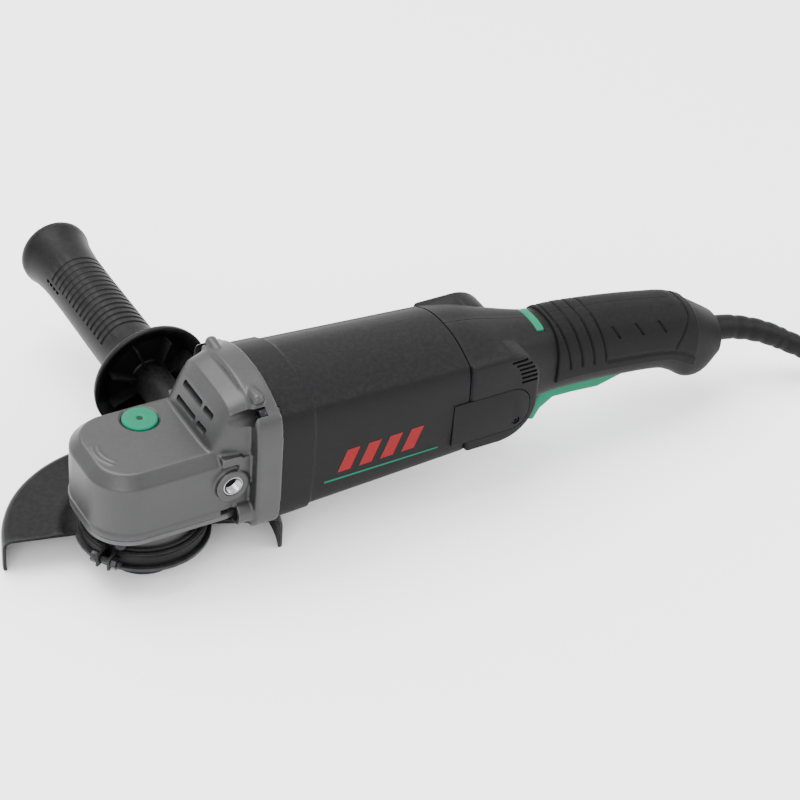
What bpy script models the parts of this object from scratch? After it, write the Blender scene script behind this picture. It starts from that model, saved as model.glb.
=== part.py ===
"""Angle grinder with a rear handle: casings, gear train, motor, guard, controls and mains lead.

Frame: metres. X runs backwards from the spindle to the cord, Y to the side handle, Z up the spindle.
The origin is the middle of the spindle's free end, which is level with the guard's rim.
"""

import math

import bmesh
import bpy
from mathutils import Matrix, Vector

GAP = 0.0003  # between two pieces that touch
RUN = 0.0005  # between two pieces that move past each other

# Motor axis and gear head
AXIS_Z = 0.0700  # motor axis above the spindle's free end
HEAD_FRONT = 0.0372  # nose in front of the spindle
HEAD_HALF_WIDTH = 0.0325
HEAD_CORNER = 0.0240
HEAD_TOP = 0.0806
HEAD_EDGE_Z = 0.0741  # where the sides turn in to the flat top
HEAD_CHAMFER = 0.006
HEAD_BOTTOM = 0.0406
HEAD_PLATE_REAR = 0.0430
FLANGE_REAR = 0.0621
FLANGE_THICK = 0.015
FLANGE_HALF_WIDTH = 0.0416
FLANGE_HALF_HEIGHT = 0.0435
HOOD_FOOT = 0.0248  # where the hood rises from the flat top
BOSS_X = 0.0360  # side handle's threaded boss
BOSS_Z = 0.0611
BOSS_FACE = 0.0360
STUD_R = 0.005

# Gear train
TEETH_CROWN = 36
TEETH_PINION = 9
CROWN_OUT = 0.0255
CROWN_IN = 0.0165
CROWN_THICK = 0.0075
TOOTH_UP = 0.0011
TOOTH_DOWN = 0.0017
PINION_FRONT = CROWN_IN + 0.0004
PINION_REAR = CROWN_OUT - 0.0004
CHAMBER_R = 0.0290
CHAMBER_TOP = 0.0678

# Spindle
SPINDLE_R = 0.0075
SPINDLE_THREAD_R = 0.0068
SPINDLE_GEAR_R = 0.0060
SPINDLE_TIP_R = 0.0040
BUSH_R = 0.0062
SPINDLE_TOP = 0.0712
BEARING_R = 0.0175
BEARING_THICK = 0.011
NUT_R = 0.0212
NUT_THICK = 0.0075
FLANGE_R = 0.0205

# Spindle lock
LOCK_X = 0.0050
LOCK_Y = 0.0159
LOCK_CAP_R = 0.0099
LOCK_TRAVEL = 0.0035
LOCK_FLOOR = 0.0726
LOCK_TOP = 0.0810
LOCK_PIN_R = 0.0022
LOCK_PIN_REACH = 0.0111  # pin from the spindle axis, on the line to the button
LOCK_HOLES = 8

# Neck, guard and clamp
NECK_R = 0.0302
NECK_BOTTOM = 0.0215
GUARD_R = 0.0764
GUARD_HEIGHT = 0.0205
GUARD_SHEET = 0.0018
GUARD_FROM = math.radians(-21.5)
GUARD_TO = math.radians(166.5)
BAND_THICK = 0.0017
BAND_HEIGHT = 0.0075
CLAMP_ANGLE = math.radians(215)

# Motor housing
MOTOR_REAR = 0.1815
MOTOR_FRONT_HALF_WIDTH = 0.0380
MOTOR_REAR_HALF_WIDTH = 0.0338
MOTOR_FRONT_TOP = 0.0395
MOTOR_REAR_TOP = 0.0315
MOTOR_FRONT_DEPTH = 0.0425
MOTOR_REAR_DEPTH = 0.0400
REAR_BORE = 0.0280
MOTOR_BORE = 0.0312
STATOR_R = 0.0307
STATOR_SLOT_R = 0.0262
POLE_R = 0.0200
STATOR_FRONT = 0.0918
STATOR_LENGTH = 0.048
ARMATURE_R = 0.0192
SHAFT_R = 0.0050
FAN_R = 0.0306
COMMUTATOR_R = 0.0130
COMMUTATOR_X = 0.1538
BRUSH_THICK = 0.0063

# Rear handle
HANDLE_REAR = 0.3700
SHELL_WALL = 0.0026
POD_REAR = 0.2272
POD_HALF_WIDTH = 0.0346
COVER_FRONT = 0.1718
COVER_REAR = 0.2213
COVER_TOP = 0.0701
COVER_BOTTOM = 0.0421
PAD_FRONT = 0.2480
PAD_REAR = 0.3490
PAD_THICK = 0.0016
TRIGGER_HALF_WIDTH = 0.0090
TRIGGER_PIVOT = (0.3158, 0.0445)
SADDLE_X = 0.2398
SADDLE_LENGTH = 0.0048
SADDLE_HALF_WIDTH = 0.0110

# Side handle
GRIP_R = 0.0176
CUP_R = 0.0342
CUP_Y = 0.0674
CUP_DEPTH = 0.0150
KNOB_R = 0.0208
SIDE_HANDLE_END = 0.2060

# Mains lead
SLEEVE_ROOT_R = 0.0082
SLEEVE_TIP_R = 0.0062
CORD_R = 0.0042
EXIT_Z = 0.0410
SLEEVE_ROUTE = ((0.3598, 0, 0.0410), (0.3718, 0, 0.0408), (0.3870, -0.0022, 0.0390),
                (0.4050, -0.0080, 0.0340), (0.4230, -0.0146, 0.0248), (0.4400, -0.0215, 0.0150))
CORD_ROUTE = ((0.4403, -0.0217, 0.0148), (0.4480, -0.0257, 0.0102), (0.4570, -0.0318, 0.0062),
              (0.4670, -0.0398, 0.0044), (0.4780, -0.0505, 0.0043), (0.4885, -0.0615, 0.0043),
              (0.4984, -0.0717, 0.0043))
COIL_CENTRE = (0.5400, -0.0300)
COIL_R = 0.0460
COIL_LAYERS = 4
PLUG_Y = 0.0040
PLUG_Z = 0.0180


def clear_scene():
    for item in list(bpy.data.objects):
        bpy.data.objects.remove(item, do_unlink=True)


def material(name, colour, roughness, metallic=0.0):
    made = bpy.data.materials.new(name)
    made.use_nodes = True
    shader = made.node_tree.nodes["Principled BSDF"]
    shader.inputs["Base Color"].default_value = (*colour, 1.0)
    shader.inputs["Roughness"].default_value = roughness
    shader.inputs["Metallic"].default_value = metallic
    return made


def finish(name, bm, look, pivot=(0, 0, 0), cutter=False):
    """Makes an object from bm, whose points are in the object's frame, with its origin at pivot."""
    bmesh.ops.recalc_face_normals(bm, faces=bm.faces)
    bmesh.ops.translate(bm, verts=bm.verts, vec=-Vector(pivot))
    mesh = bpy.data.meshes.new(name)
    bm.to_mesh(mesh)
    bm.free()
    item = bpy.data.objects.new(name, mesh)
    item.location = pivot
    bpy.context.scene.collection.objects.link(item)
    if cutter:
        item.hide_render = True
        item.display_type = "WIRE"
    else:
        mesh.materials.append(look)
        mesh.shade_smooth()
        mesh.set_sharp_from_angle(angle=math.radians(35))
    return item


def cut(item, tool, how="DIFFERENCE"):
    change = item.modifiers.new(how.title() + "_" + tool.name, "BOOLEAN")
    change.operation = how
    change.solver = "EXACT"
    change.object = tool


def loft(rings, closed=False):
    """Skin over rings of equal length; closed joins the last to the first, else both ends are capped."""
    bm = bmesh.new()
    made = [[bm.verts.new(point) for point in ring] for ring in rings]
    count = len(rings[0])
    pairs = list(zip(made, made[1:]))
    if closed:
        pairs.append((made[-1], made[0]))
    for low, high in pairs:
        for i in range(count):
            j = (i + 1) % count
            bm.faces.new((low[i], low[j], high[j], high[i]))
    if not closed:
        bm.faces.new(made[0])
        bm.faces.new(made[-1])
    return bm


def along(axis, across, up, distance):
    """A point at distance along the named axis; across and up are the other two coordinates in order."""
    if axis == "X":
        return (distance, across, up)
    if axis == "Y":
        return (across, distance, up)
    return (across, up, distance)


def turned(profile, axis="Z", centre=(0, 0, 0), steps=24, start=0.0, sweep=None):
    """A turned solid from a closed profile of (radius, distance); radius 0 lies on the axis."""
    bm = bmesh.new()
    whole = sweep is None
    turns = steps if whole else steps + 1
    share = math.tau / steps if whole else sweep / steps
    on_axis = {}
    columns = []
    for i in range(turns):
        angle = start + i * share
        column = []
        for j, (radius, distance) in enumerate(profile):
            place = Vector(along(axis, radius * math.cos(angle), radius * math.sin(angle), distance))
            if radius == 0:
                if j not in on_axis:
                    on_axis[j] = bm.verts.new(place + Vector(centre))
                column.append(on_axis[j])
            else:
                column.append(bm.verts.new(place + Vector(centre)))
        columns.append(column)
    count = len(profile)
    pairs = list(zip(columns, columns[1:]))
    if whole:
        pairs.append((columns[-1], columns[0]))
    for near, far in pairs:
        for j in range(count):
            k = (j + 1) % count
            corners = [near[j], near[k], far[k], far[j]]
            unique = list(dict.fromkeys(corners))
            if len(unique) > 2:
                bm.faces.new(unique)
    if not whole:
        bm.faces.new(columns[0])
        bm.faces.new(columns[-1])
    return bm


def rod(radius, start, end, axis="Z", centre=(0, 0, 0), steps=16):
    return turned(((0, start), (radius, start), (radius, end), (0, end)), axis, centre, steps)


def tube(inner, outer, start, end, axis="Z", centre=(0, 0, 0), steps=24):
    profile = ((inner, start), (outer, start), (outer, end), (inner, end))
    return turned(profile, axis, centre, steps)


def box(low, high):
    bm = bmesh.new()
    bmesh.ops.create_cube(bm, size=1.0)
    size = Vector(high) - Vector(low)
    middle = (Vector(high) + Vector(low)) / 2
    bmesh.ops.transform(bm, verts=bm.verts, matrix=Matrix.Translation(middle) @ Matrix.Diagonal((*size, 1)))
    return bm


def prism(outline, axis, start, end):
    """An outline extruded along an axis."""
    return loft([[along(axis, a, b, distance) for a, b in outline] for distance in (start, end)])


def rounded(low, high, radii, steps=5):
    """A rectangle's outline from low to high with its corners rounded: radii start at the low corner."""
    (x0, y0), (x1, y1) = low, high
    corners = ((x0, y0, 180), (x1, y0, 270), (x1, y1, 0), (x0, y1, 90))
    points = []
    for (x, y, begin), radius in zip(corners, radii):
        if radius == 0:
            points.append((x, y))
            continue
        cx = x + math.copysign(radius, (x0 + x1) / 2 - x)
        cy = y + math.copysign(radius, (y0 + y1) / 2 - y)
        for i in range(steps + 1):
            angle = math.radians(begin + 90 * i / steps)
            points.append((cx + radius * math.cos(angle), cy + radius * math.sin(angle)))
    return points


def oval(half_width, up, down, power, steps=28):
    """A rounded-square outline of (across, up) about the middle, boxier as power grows."""
    points = []
    for i in range(steps):
        angle = math.tau * (i + 0.5) / steps
        c, s = math.cos(angle), math.sin(angle)
        across = half_width * math.copysign(abs(c) ** (2 / power), c)
        height = (up if s > 0 else down) * math.copysign(abs(s) ** (2 / power), s)
        points.append((across, height))
    return points


def casing_half(half_width, top, depth, side):
    """Half of the casing's section about the motor axis, from its top to its bottom: a low roof over
    nearly flat sides, with rounded lower corners."""
    shape = ((0, 1.0), (0.31, 0.975), (0.58, 0.895), (0.79, 0.79), (0.925, 0.70), (0.985, 0.45), (1.0, 0.0),
             (0.99, -0.45), (0.965, -0.74), (0.90, -0.90), (0.76, -0.985), (0.40, -1.0), (0, -1.0))
    return [(side * max(a * half_width, GAP / 2), b * (top if b > 0 else depth)) for a, b in shape]


def casing(half_width, top, depth):
    """The whole section: its right half from top to bottom, then its left half back up."""
    right = casing_half(half_width, top, depth, 1)
    left = casing_half(half_width, top, depth, -1)
    return [(0, top)] + right[1:-1] + [(0, -depth)] + left[-2:0:-1]


def circle(radius, steps=24):
    """A circle's outline that starts at its top and runs the way the casing's section does."""
    return [(radius * math.sin(math.tau * i / steps), radius * math.cos(math.tau * i / steps))
            for i in range(steps)]


def station(x, outline, middle):
    return [(x, across, middle + up) for across, up in outline]


def smooth_route(points, spacing):
    """Points at even spacing on a Catmull-Rom curve through the route's own points."""
    route = [Vector(p) for p in points]
    route = [2 * route[0] - route[1]] + route + [2 * route[-1] - route[-2]]
    fine = []
    for a, b, c, d in zip(route, route[1:], route[2:], route[3:]):
        for i in range(24):
            t = i / 24
            fine.append(0.5 * (2 * b + (c - a) * t + (2 * a - 5 * b + 4 * c - d) * t * t
                               + (3 * b - a - 3 * c + d) * t ** 3))
    fine.append(route[-2])
    kept = [fine[0]]
    for point in fine:
        if (point - kept[-1]).length >= spacing:
            kept.append(point)
    kept[-1] = fine[-1]
    return kept


LOOKS = {}


def make_looks():
    """The finishes: colours are linear."""
    LOOKS["painted"] = material("painted_casting", (0.098, 0.098, 0.102), 0.42, 0.55)
    LOOKS["housing"] = material("dark_nylon", (0.028, 0.026, 0.031), 0.48)
    LOOKS["rubber"] = material("soft_pad", (0.020, 0.019, 0.021), 0.72)
    LOOKS["green"] = material("green_plastic", (0.001, 0.330, 0.180), 0.38)
    LOOKS["black_steel"] = material("black_steel", (0.018, 0.018, 0.019), 0.40, 0.4)
    LOOKS["steel"] = material("steel", (0.52, 0.52, 0.53), 0.30, 1.0)
    LOOKS["dark_steel"] = material("dark_steel", (0.16, 0.16, 0.17), 0.38, 1.0)
    LOOKS["copper"] = material("copper", (0.60, 0.24, 0.12), 0.35, 1.0)
    LOOKS["brass"] = material("brass", (0.62, 0.46, 0.18), 0.35, 1.0)
    LOOKS["carbon"] = material("carbon", (0.030, 0.030, 0.030), 0.60)
    LOOKS["grip"] = material("black_grip", (0.017, 0.017, 0.018), 0.55)


def head_outline(inset=0.0):
    """The gear head's plan: a rounded nose that runs back into the flange."""
    back = FLANGE_REAR - FLANGE_THICK + 0.004
    low = (-HEAD_FRONT + inset, -HEAD_HALF_WIDTH + inset)
    high = (back, HEAD_HALF_WIDTH - inset)
    radius = HEAD_CORNER - inset
    return rounded(low, high, (radius, 0, 0, radius), 6)


def screw_places():
    """Middle of each flange screw, across and up from the motor axis."""
    across = FLANGE_HALF_WIDTH * 0.75
    up = FLANGE_HALF_HEIGHT * 0.70
    return [(a * across, b * up) for a in (-1, 1) for b in (1, -1)]


def make_gear_housing():
    nose = loft([[(x, y, HEAD_BOTTOM) for x, y in head_outline()],
                 [(x, y, HEAD_EDGE_Z) for x, y in head_outline()],
                 [(x, y, HEAD_TOP) for x, y in head_outline(HEAD_CHAMFER)]])
    housing = finish("gear_housing", nose, LOOKS["painted"])
    slab_front = FLANGE_REAR - FLANGE_THICK
    outline = casing(FLANGE_HALF_WIDTH, FLANGE_HALF_HEIGHT, FLANGE_HALF_HEIGHT)
    slab = loft([station(slab_front, outline, AXIS_Z), station(FLANGE_REAR, outline, AXIS_Z)])
    cut(housing, finish("flange_slab", slab, None, cutter=True), "UNION")
    crown = HEAD_TOP - AXIS_Z - 0.004
    hood = loft([station(HOOD_FOOT - 0.001, oval(0.0270, crown, crown, 4), AXIS_Z),
                 station(HOOD_FOOT + 0.009, oval(0.0290, 0.0325, 0.018, 3.2), AXIS_Z),
                 station(HOOD_FOOT + 0.016, oval(0.0315, 0.0385, 0.022, 3.2), AXIS_Z),
                 station(slab_front + 0.003, oval(0.0335, 0.0410, 0.025, 3.2), AXIS_Z)])
    cut(housing, finish("hood_body", hood, None, cutter=True), "UNION")
    bosses = rod(0.0095, -BOSS_FACE, BOSS_FACE, "Y", (BOSS_X, 0, BOSS_Z), 20)
    cut(housing, finish("handle_bosses", bosses, None, cutter=True), "UNION")
    chamber = rod(CHAMBER_R, HEAD_BOTTOM - 0.002, CHAMBER_TOP, steps=32)
    cut(housing, finish("gear_chamber", chamber, None, cutter=True))
    bores = turned(((0, PINION_FRONT - 0.0035), (0.0088, PINION_FRONT - 0.0035), (0.0088, 0.0360),
                    (0.0160 + GAP, 0.0360), (0.0160 + GAP, 0.0475), (0.0260, 0.0475),
                    (0.0340, 0.0535), (0.0340, FLANGE_REAR + 0.002), (0, FLANGE_REAR + 0.002)),
                   "X", (0, 0, AXIS_Z), 28)
    cut(housing, finish("motor_side_bores", bores, None, cutter=True))
    tip = rod(BUSH_R + GAP, CHAMBER_TOP - 0.001, LOCK_FLOOR - 0.0008)
    cut(housing, finish("bush_bore", tip, None, cutter=True))
    well = rod(LOCK_CAP_R + RUN, LOCK_FLOOR, HEAD_TOP + 0.002, "Z", (LOCK_X, LOCK_Y, 0), 28)
    cut(housing, finish("lock_well", well, None, cutter=True))
    guide = rod(LOCK_PIN_R + GAP, CHAMBER_TOP - 0.001, LOCK_FLOOR + 0.001, "Z", (*pin_place(), 0), 16)
    cut(housing, finish("lock_pin_guide", guide, None, cutter=True))
    for side, name in ((-1, "left"), (1, "right")):
        start, end = sorted((side * (BOSS_FACE - 0.0075), side * (BOSS_FACE + 0.001)))
        hole = rod(STUD_R + GAP, start, end, "Y", (BOSS_X, 0, BOSS_Z))
        cut(housing, finish("boss_hole_" + name, hole, None, cutter=True))
    for number, (across, up) in enumerate(screw_places(), 1):
        hole = turned(((0, slab_front - 0.012), (0.0050, slab_front - 0.012), (0.0050, slab_front + 0.008),
                       (0.0024 + GAP, slab_front + 0.008), (0.0024 + GAP, FLANGE_REAR + 0.001),
                       (0, FLANGE_REAR + 0.001)), "X", (0, across, AXIS_Z + up), 14)
        cut(housing, finish("flange_hole_%d" % number, hole, None, cutter=True))
    for number, (x, y) in enumerate(cover_screw_places(), 1):
        hole = rod(0.0021 + GAP, HEAD_BOTTOM - 0.001, HEAD_BOTTOM + 0.0135, centre=(x, y, 0), steps=12)
        cut(housing, finish("head_hole_%d" % number, hole, None, cutter=True))


def pin_place():
    share = LOCK_PIN_REACH / math.hypot(LOCK_X, LOCK_Y)
    return (LOCK_X * share, LOCK_Y * share)


def cover_screw_places():
    reach = 0.0243
    return [(a * reach, b * reach) for a in (-1, 1) for b in (-1, 1)]


def make_bearing_cover():
    """The plate under the gear head with the round neck that holds the spindle bearing and the guard."""
    plate_low = HEAD_BOTTOM - GAP - 0.0040
    plate_corner = 0.010
    plate_outline = rounded((-HEAD_FRONT, -HEAD_HALF_WIDTH), (HEAD_PLATE_REAR, HEAD_HALF_WIDTH),
                            (HEAD_CORNER, plate_corner, plate_corner, HEAD_CORNER), 6)
    plate = loft([[(x, y, z) for x, y in plate_outline]
                  for z in (plate_low, HEAD_BOTTOM - GAP)])
    cover = finish("bearing_cover", plate, LOOKS["painted"])
    neck = turned(((0, NECK_BOTTOM), (NECK_R - 0.001, NECK_BOTTOM), (NECK_R, NECK_BOTTOM + 0.001),
                   (NECK_R, plate_low + 0.001), (0, plate_low + 0.001)), steps=36)
    cut(cover, finish("cover_neck", neck, None, cutter=True), "UNION")
    bearing_low = HEAD_BOTTOM - GAP - BEARING_THICK - 0.0020
    bore = turned(((0, NECK_BOTTOM - 0.001), (0.0115, NECK_BOTTOM - 0.001), (0.0115, bearing_low - GAP),
                   (BEARING_R + GAP, bearing_low - GAP), (BEARING_R + GAP, HEAD_BOTTOM + 0.001),
                   (0, HEAD_BOTTOM + 0.001)), steps=28)
    cut(cover, finish("cover_bore", bore, None, cutter=True))
    for number, (x, y) in enumerate(cover_screw_places(), 1):
        hole = rod(0.0021 + GAP, plate_low - 0.001, HEAD_BOTTOM + 0.001, centre=(x, y, 0), steps=12)
        cut(cover, finish("cover_hole_%d" % number, hole, None, cutter=True))
        head = turned(((0, plate_low - GAP - 0.0030), (0.0034, plate_low - GAP - 0.0030),
                       (0.0038, plate_low - GAP - 0.0020), (0.0038, plate_low - GAP),
                       (0.0021, plate_low - GAP), (0.0021, HEAD_BOTTOM + 0.0125), (0, HEAD_BOTTOM + 0.0125)),
                      centre=(x, y, 0), steps=12)
        finish("cover_screw_%d" % number, head, LOOKS["dark_steel"])
    ring = tube(SPINDLE_R + GAP, BEARING_R, bearing_low, bearing_low + BEARING_THICK)
    finish("spindle_bearing", ring, LOOKS["steel"])


def pitch_z(radius):
    """Height of the crown gear's pitch cone, whose tip is where the two axes cross."""
    return AXIS_Z - radius * TEETH_PINION / TEETH_CROWN


def tooth_shape(teeth, widths, start=0.0):
    """(angle, high) pairs round a gear: widths are a tooth's tip and root as shares of its pitch."""
    tip, root = widths
    pitch = math.tau / teeth
    corners = []
    for i in range(teeth):
        middle = start + i * pitch
        corners += [(middle - root * pitch / 2, False), (middle - tip * pitch / 2, True),
                    (middle + tip * pitch / 2, True), (middle + root * pitch / 2, False)]
    return corners


def make_crown_gear():
    web_top = CHAMBER_TOP - 0.0042
    bottom = web_top - CROWN_THICK
    columns = []
    for i in range(2 * TEETH_CROWN):
        angle = math.pi * i / TEETH_CROWN
        rise = TOOTH_UP if i % 2 else -TOOTH_DOWN
        ends = [(SPINDLE_GEAR_R + GAP, bottom), (CROWN_OUT, bottom), (CROWN_OUT, pitch_z(CROWN_OUT) + rise),
                (CROWN_IN, pitch_z(CROWN_IN) + rise * 0.75), (CROWN_IN - 0.0012, web_top),
                (SPINDLE_GEAR_R + GAP, web_top)]
        columns.append([(r * math.cos(angle), r * math.sin(angle), z) for r, z in ends])
    gear = finish("crown_gear", loft(columns, closed=True), LOOKS["dark_steel"])
    reach = LOCK_PIN_REACH
    begin = math.atan2(LOCK_Y, LOCK_X)
    for i in range(LOCK_HOLES):
        angle = begin + math.tau * i / LOCK_HOLES
        place = (reach * math.cos(angle), reach * math.sin(angle), 0)
        hole = rod(LOCK_PIN_R + RUN, bottom - 0.001, web_top + 0.001, centre=place, steps=10)
        cut(gear, finish("lock_hole_%d" % (i + 1), hole, None, cutter=True))


def make_pinion():
    ratio = TEETH_PINION / TEETH_CROWN
    rings = [[], []]
    bore = SHAFT_R * 0.56
    for angle, high in tooth_shape(TEETH_PINION, (0.15, 0.60), -math.pi / 2):
        for ring, x in zip(rings, (PINION_FRONT, PINION_REAR)):
            scale = 0.75 if x == PINION_FRONT else 1.0
            radius = x * ratio + (TOOTH_UP if high else -TOOTH_DOWN) * scale
            ring.append((x, radius * math.cos(angle), AXIS_Z + radius * math.sin(angle)))
    inner = [[(x, bore * math.cos(a), AXIS_Z + bore * math.sin(a))
              for a, _ in tooth_shape(TEETH_PINION, (0.25, 0.75), -math.pi / 2)]
             for x in (PINION_REAR, PINION_FRONT)]
    finish("pinion_gear", loft(rings + inner, closed=True), LOOKS["dark_steel"], (0, 0, AXIS_Z))


def make_spindle():
    gear_seat = CHAMBER_TOP - 0.0042 - CROWN_THICK
    shoulder = HEAD_BOTTOM - GAP - 0.0020 + GAP
    profile = ((0, 0), (SPINDLE_THREAD_R - 0.001, 0), (SPINDLE_THREAD_R, 0.001),
               (SPINDLE_THREAD_R, NECK_BOTTOM), (SPINDLE_R, NECK_BOTTOM), (SPINDLE_R, shoulder),
               (SPINDLE_R + 0.0025, shoulder), (SPINDLE_R + 0.0025, gear_seat - GAP),
               (SPINDLE_GEAR_R, gear_seat - GAP), (SPINDLE_GEAR_R, CHAMBER_TOP - 0.0038),
               (SPINDLE_TIP_R, CHAMBER_TOP - 0.0038), (SPINDLE_TIP_R, SPINDLE_TOP), (0, SPINDLE_TOP))
    finish("spindle", turned(profile, steps=20), LOOKS["steel"])
    bush = tube(SPINDLE_TIP_R + GAP, BUSH_R, CHAMBER_TOP + GAP, SPINDLE_TOP + 0.0003, steps=20)
    finish("spindle_bush", bush, LOOKS["brass"])
    nut_low = 0.0005
    nut_top = nut_low + NUT_THICK
    nut = turned(((SPINDLE_THREAD_R + GAP, nut_low), (0.0150, nut_low), (0.0165, nut_low + 0.0012),
                  (NUT_R - 0.0012, nut_low + 0.0012), (NUT_R, nut_low + 0.0024),
                  (NUT_R, nut_top), (SPINDLE_THREAD_R + GAP, nut_top)), steps=32)
    lock_nut = finish("lock_nut", nut, LOOKS["black_steel"])
    for number, side in enumerate((-1, 1), 1):
        hole = rod(0.0026, nut_low - 0.001, nut_top - 0.0025, centre=(side * 0.0150, 0, 0), steps=10)
        cut(lock_nut, finish("nut_hole_%d" % number, hole, None, cutter=True))
    flange = turned(((SPINDLE_THREAD_R + GAP, nut_top + GAP), (FLANGE_R, nut_top + GAP),
                     (FLANGE_R, nut_top + 0.0050), (0.0105, nut_top + 0.0065),
                     (0.0105, NECK_BOTTOM - GAP), (SPINDLE_THREAD_R + GAP, NECK_BOTTOM - GAP)), steps=28)
    finish("inner_flange", flange, LOOKS["dark_steel"])


def make_spindle_lock():
    place = (LOCK_X, LOCK_Y, 0)
    low = LOCK_FLOOR + LOCK_TRAVEL + GAP
    cap = turned(((LOCK_CAP_R - 0.0018, low), (LOCK_CAP_R, low), (LOCK_CAP_R, LOCK_TOP - 0.0010),
                  (LOCK_CAP_R - 0.0010, LOCK_TOP), (0.0018, LOCK_TOP), (0.0014, LOCK_TOP - 0.0008),
                  (0, LOCK_TOP - 0.0008), (0, LOCK_TOP - 0.0020), (LOCK_CAP_R - 0.0018, LOCK_TOP - 0.0020)),
                 centre=place, steps=28)
    finish("spindle_lock_button", cap, LOOKS["green"], (LOCK_X, LOCK_Y, low))
    rest = CHAMBER_TOP - 0.0022
    pin = rod(LOCK_PIN_R, rest, LOCK_TOP - 0.0020 - GAP, centre=(*pin_place(), 0), steps=14)
    finish("lock_pin", pin, LOOKS["steel"], (*pin_place(), rest))
    wire = bpy.data.curves.new("lock_spring", "CURVE")
    wire.dimensions = "3D"
    wire.bevel_depth = 0.0004
    wire.bevel_resolution = 1
    wire.use_fill_caps = True
    turns = 3
    per_turn = 12
    height = 0.0014
    aside = 1 + 0.0024 / math.hypot(LOCK_X, LOCK_Y)  # clear of the pin
    count = turns * per_turn + 1
    line = wire.splines.new("POLY")
    line.points.add(count - 1)
    for i in range(count):
        angle = math.tau * i / per_turn
        rise = LOCK_FLOOR + GAP + wire.bevel_depth + height * i / (count - 1)
        radius = 0.0019 + 0.0027 * i / (count - 1)
        spot = (LOCK_X * aside + radius * math.cos(angle), LOCK_Y * aside + radius * math.sin(angle), rise)
        line.points[i].co = (*spot, 1)
    spring = bpy.data.objects.new("lock_spring", wire)
    bpy.context.scene.collection.objects.link(spring)
    wire.materials.append(LOOKS["steel"])


def make_guard():
    plate_top = GUARD_HEIGHT
    plate_low = GUARD_HEIGHT - GUARD_SHEET
    inner = NECK_R + RUN
    collar_top = plate_top + BAND_HEIGHT + 0.0020
    sector = turned(((inner + 0.0010, plate_low), (GUARD_R - GUARD_SHEET, plate_low),
                     (GUARD_R - GUARD_SHEET, 0), (GUARD_R, 0), (GUARD_R, plate_top - 0.0015),
                     (GUARD_R - 0.0015, plate_top), (inner + 0.0010, plate_top)),
                    steps=30, start=GUARD_FROM, sweep=GUARD_TO - GUARD_FROM)
    guard = finish("guard", sector, LOOKS["black_steel"])
    collar = turned(((inner, plate_low - 0.0001), (inner + 0.0065, plate_low - 0.0001),
                     (inner + 0.0065, plate_top + 0.0001), (inner + GUARD_SHEET, plate_top + 0.0001),
                     (inner + GUARD_SHEET, collar_top), (inner, collar_top)), steps=36)
    cut(guard, finish("guard_collar", collar, None, cutter=True), "UNION")
    band_in = inner + GUARD_SHEET + GAP
    band_out = band_in + BAND_THICK
    band_low = plate_top + 0.0001 + GAP
    opening = math.radians(9)
    band = turned(((band_in, band_low), (band_out, band_low), (band_out, band_low + BAND_HEIGHT),
                   (band_in, band_low + BAND_HEIGHT)), steps=36,
                  start=CLAMP_ANGLE + opening / 2, sweep=math.tau - opening)
    clamp = finish("guard_clamp_band", band, LOOKS["black_steel"])
    turn = Matrix.Rotation(CLAMP_ANGLE, 4, "Z")
    half_gap = band_in * math.sin(opening / 2)
    for number, side in enumerate((-1, 1), 1):
        inner_y, outer_y = sorted((side * half_gap, side * (half_gap + BAND_THICK)))
        ear = box((band_in + 0.0002, inner_y, band_low),
                  (band_out + 0.0085, outer_y, band_low + BAND_HEIGHT))
        bmesh.ops.transform(ear, verts=ear.verts, matrix=turn)
        cut(clamp, finish("clamp_ear_%d" % number, ear, None, cutter=True), "UNION")
    screw_x = band_out + 0.0048
    screw_z = band_low + BAND_HEIGHT / 2
    grip = half_gap + BAND_THICK
    hole = rod(0.0020 + GAP, -grip - 0.002, grip + 0.002, "Y", (screw_x, 0, screw_z), 12)
    bmesh.ops.transform(hole, verts=hole.verts, matrix=turn)
    cut(clamp, finish("clamp_hole", hole, None, cutter=True))
    screw = turned(((0, -grip - GAP - 0.0032), (0.0034, -grip - GAP - 0.0032), (0.0034, -grip - GAP),
                    (0.0020, -grip - GAP), (0.0020, grip + 0.0050), (0, grip + 0.0050)),
                   "Y", (screw_x, 0, screw_z), 12)
    bmesh.ops.transform(screw, verts=screw.verts, matrix=turn)
    finish("clamp_screw", screw, LOOKS["steel"])
    nut = turned(((0.0020 + GAP, grip + GAP), (0.0035, grip + GAP), (0.0035, grip + 0.0032),
                  (0.0020 + GAP, grip + 0.0032)), "Y", (screw_x, 0, screw_z), 6)
    bmesh.ops.transform(nut, verts=nut.verts, matrix=turn)
    finish("clamp_nut", nut, LOOKS["steel"])


def motor_outline(x):
    """The motor housing's section at x, which narrows to the rear."""
    share = (x - FLANGE_REAR) / (MOTOR_REAR - FLANGE_REAR)
    width = MOTOR_FRONT_HALF_WIDTH + (MOTOR_REAR_HALF_WIDTH - MOTOR_FRONT_HALF_WIDTH) * share
    top = MOTOR_FRONT_TOP + (MOTOR_REAR_TOP - MOTOR_FRONT_TOP) * share
    depth = MOTOR_FRONT_DEPTH + (MOTOR_REAR_DEPTH - MOTOR_FRONT_DEPTH) * share
    return casing(width, top, depth)


def cover_cut(side, name):
    """The brush cover's seat, as a cutter for the casings beneath it."""
    outline = rounded((COVER_FRONT - GAP, COVER_BOTTOM - GAP), (COVER_REAR + GAP, COVER_TOP + GAP),
                      (0, 0.0120, 0.0120, 0), 4)
    start, end = sorted((side * (POD_HALF_WIDTH - 0.0042), side * 0.060))
    return finish(name, prism(outline, "Y", start, end), None, cutter=True)


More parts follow.
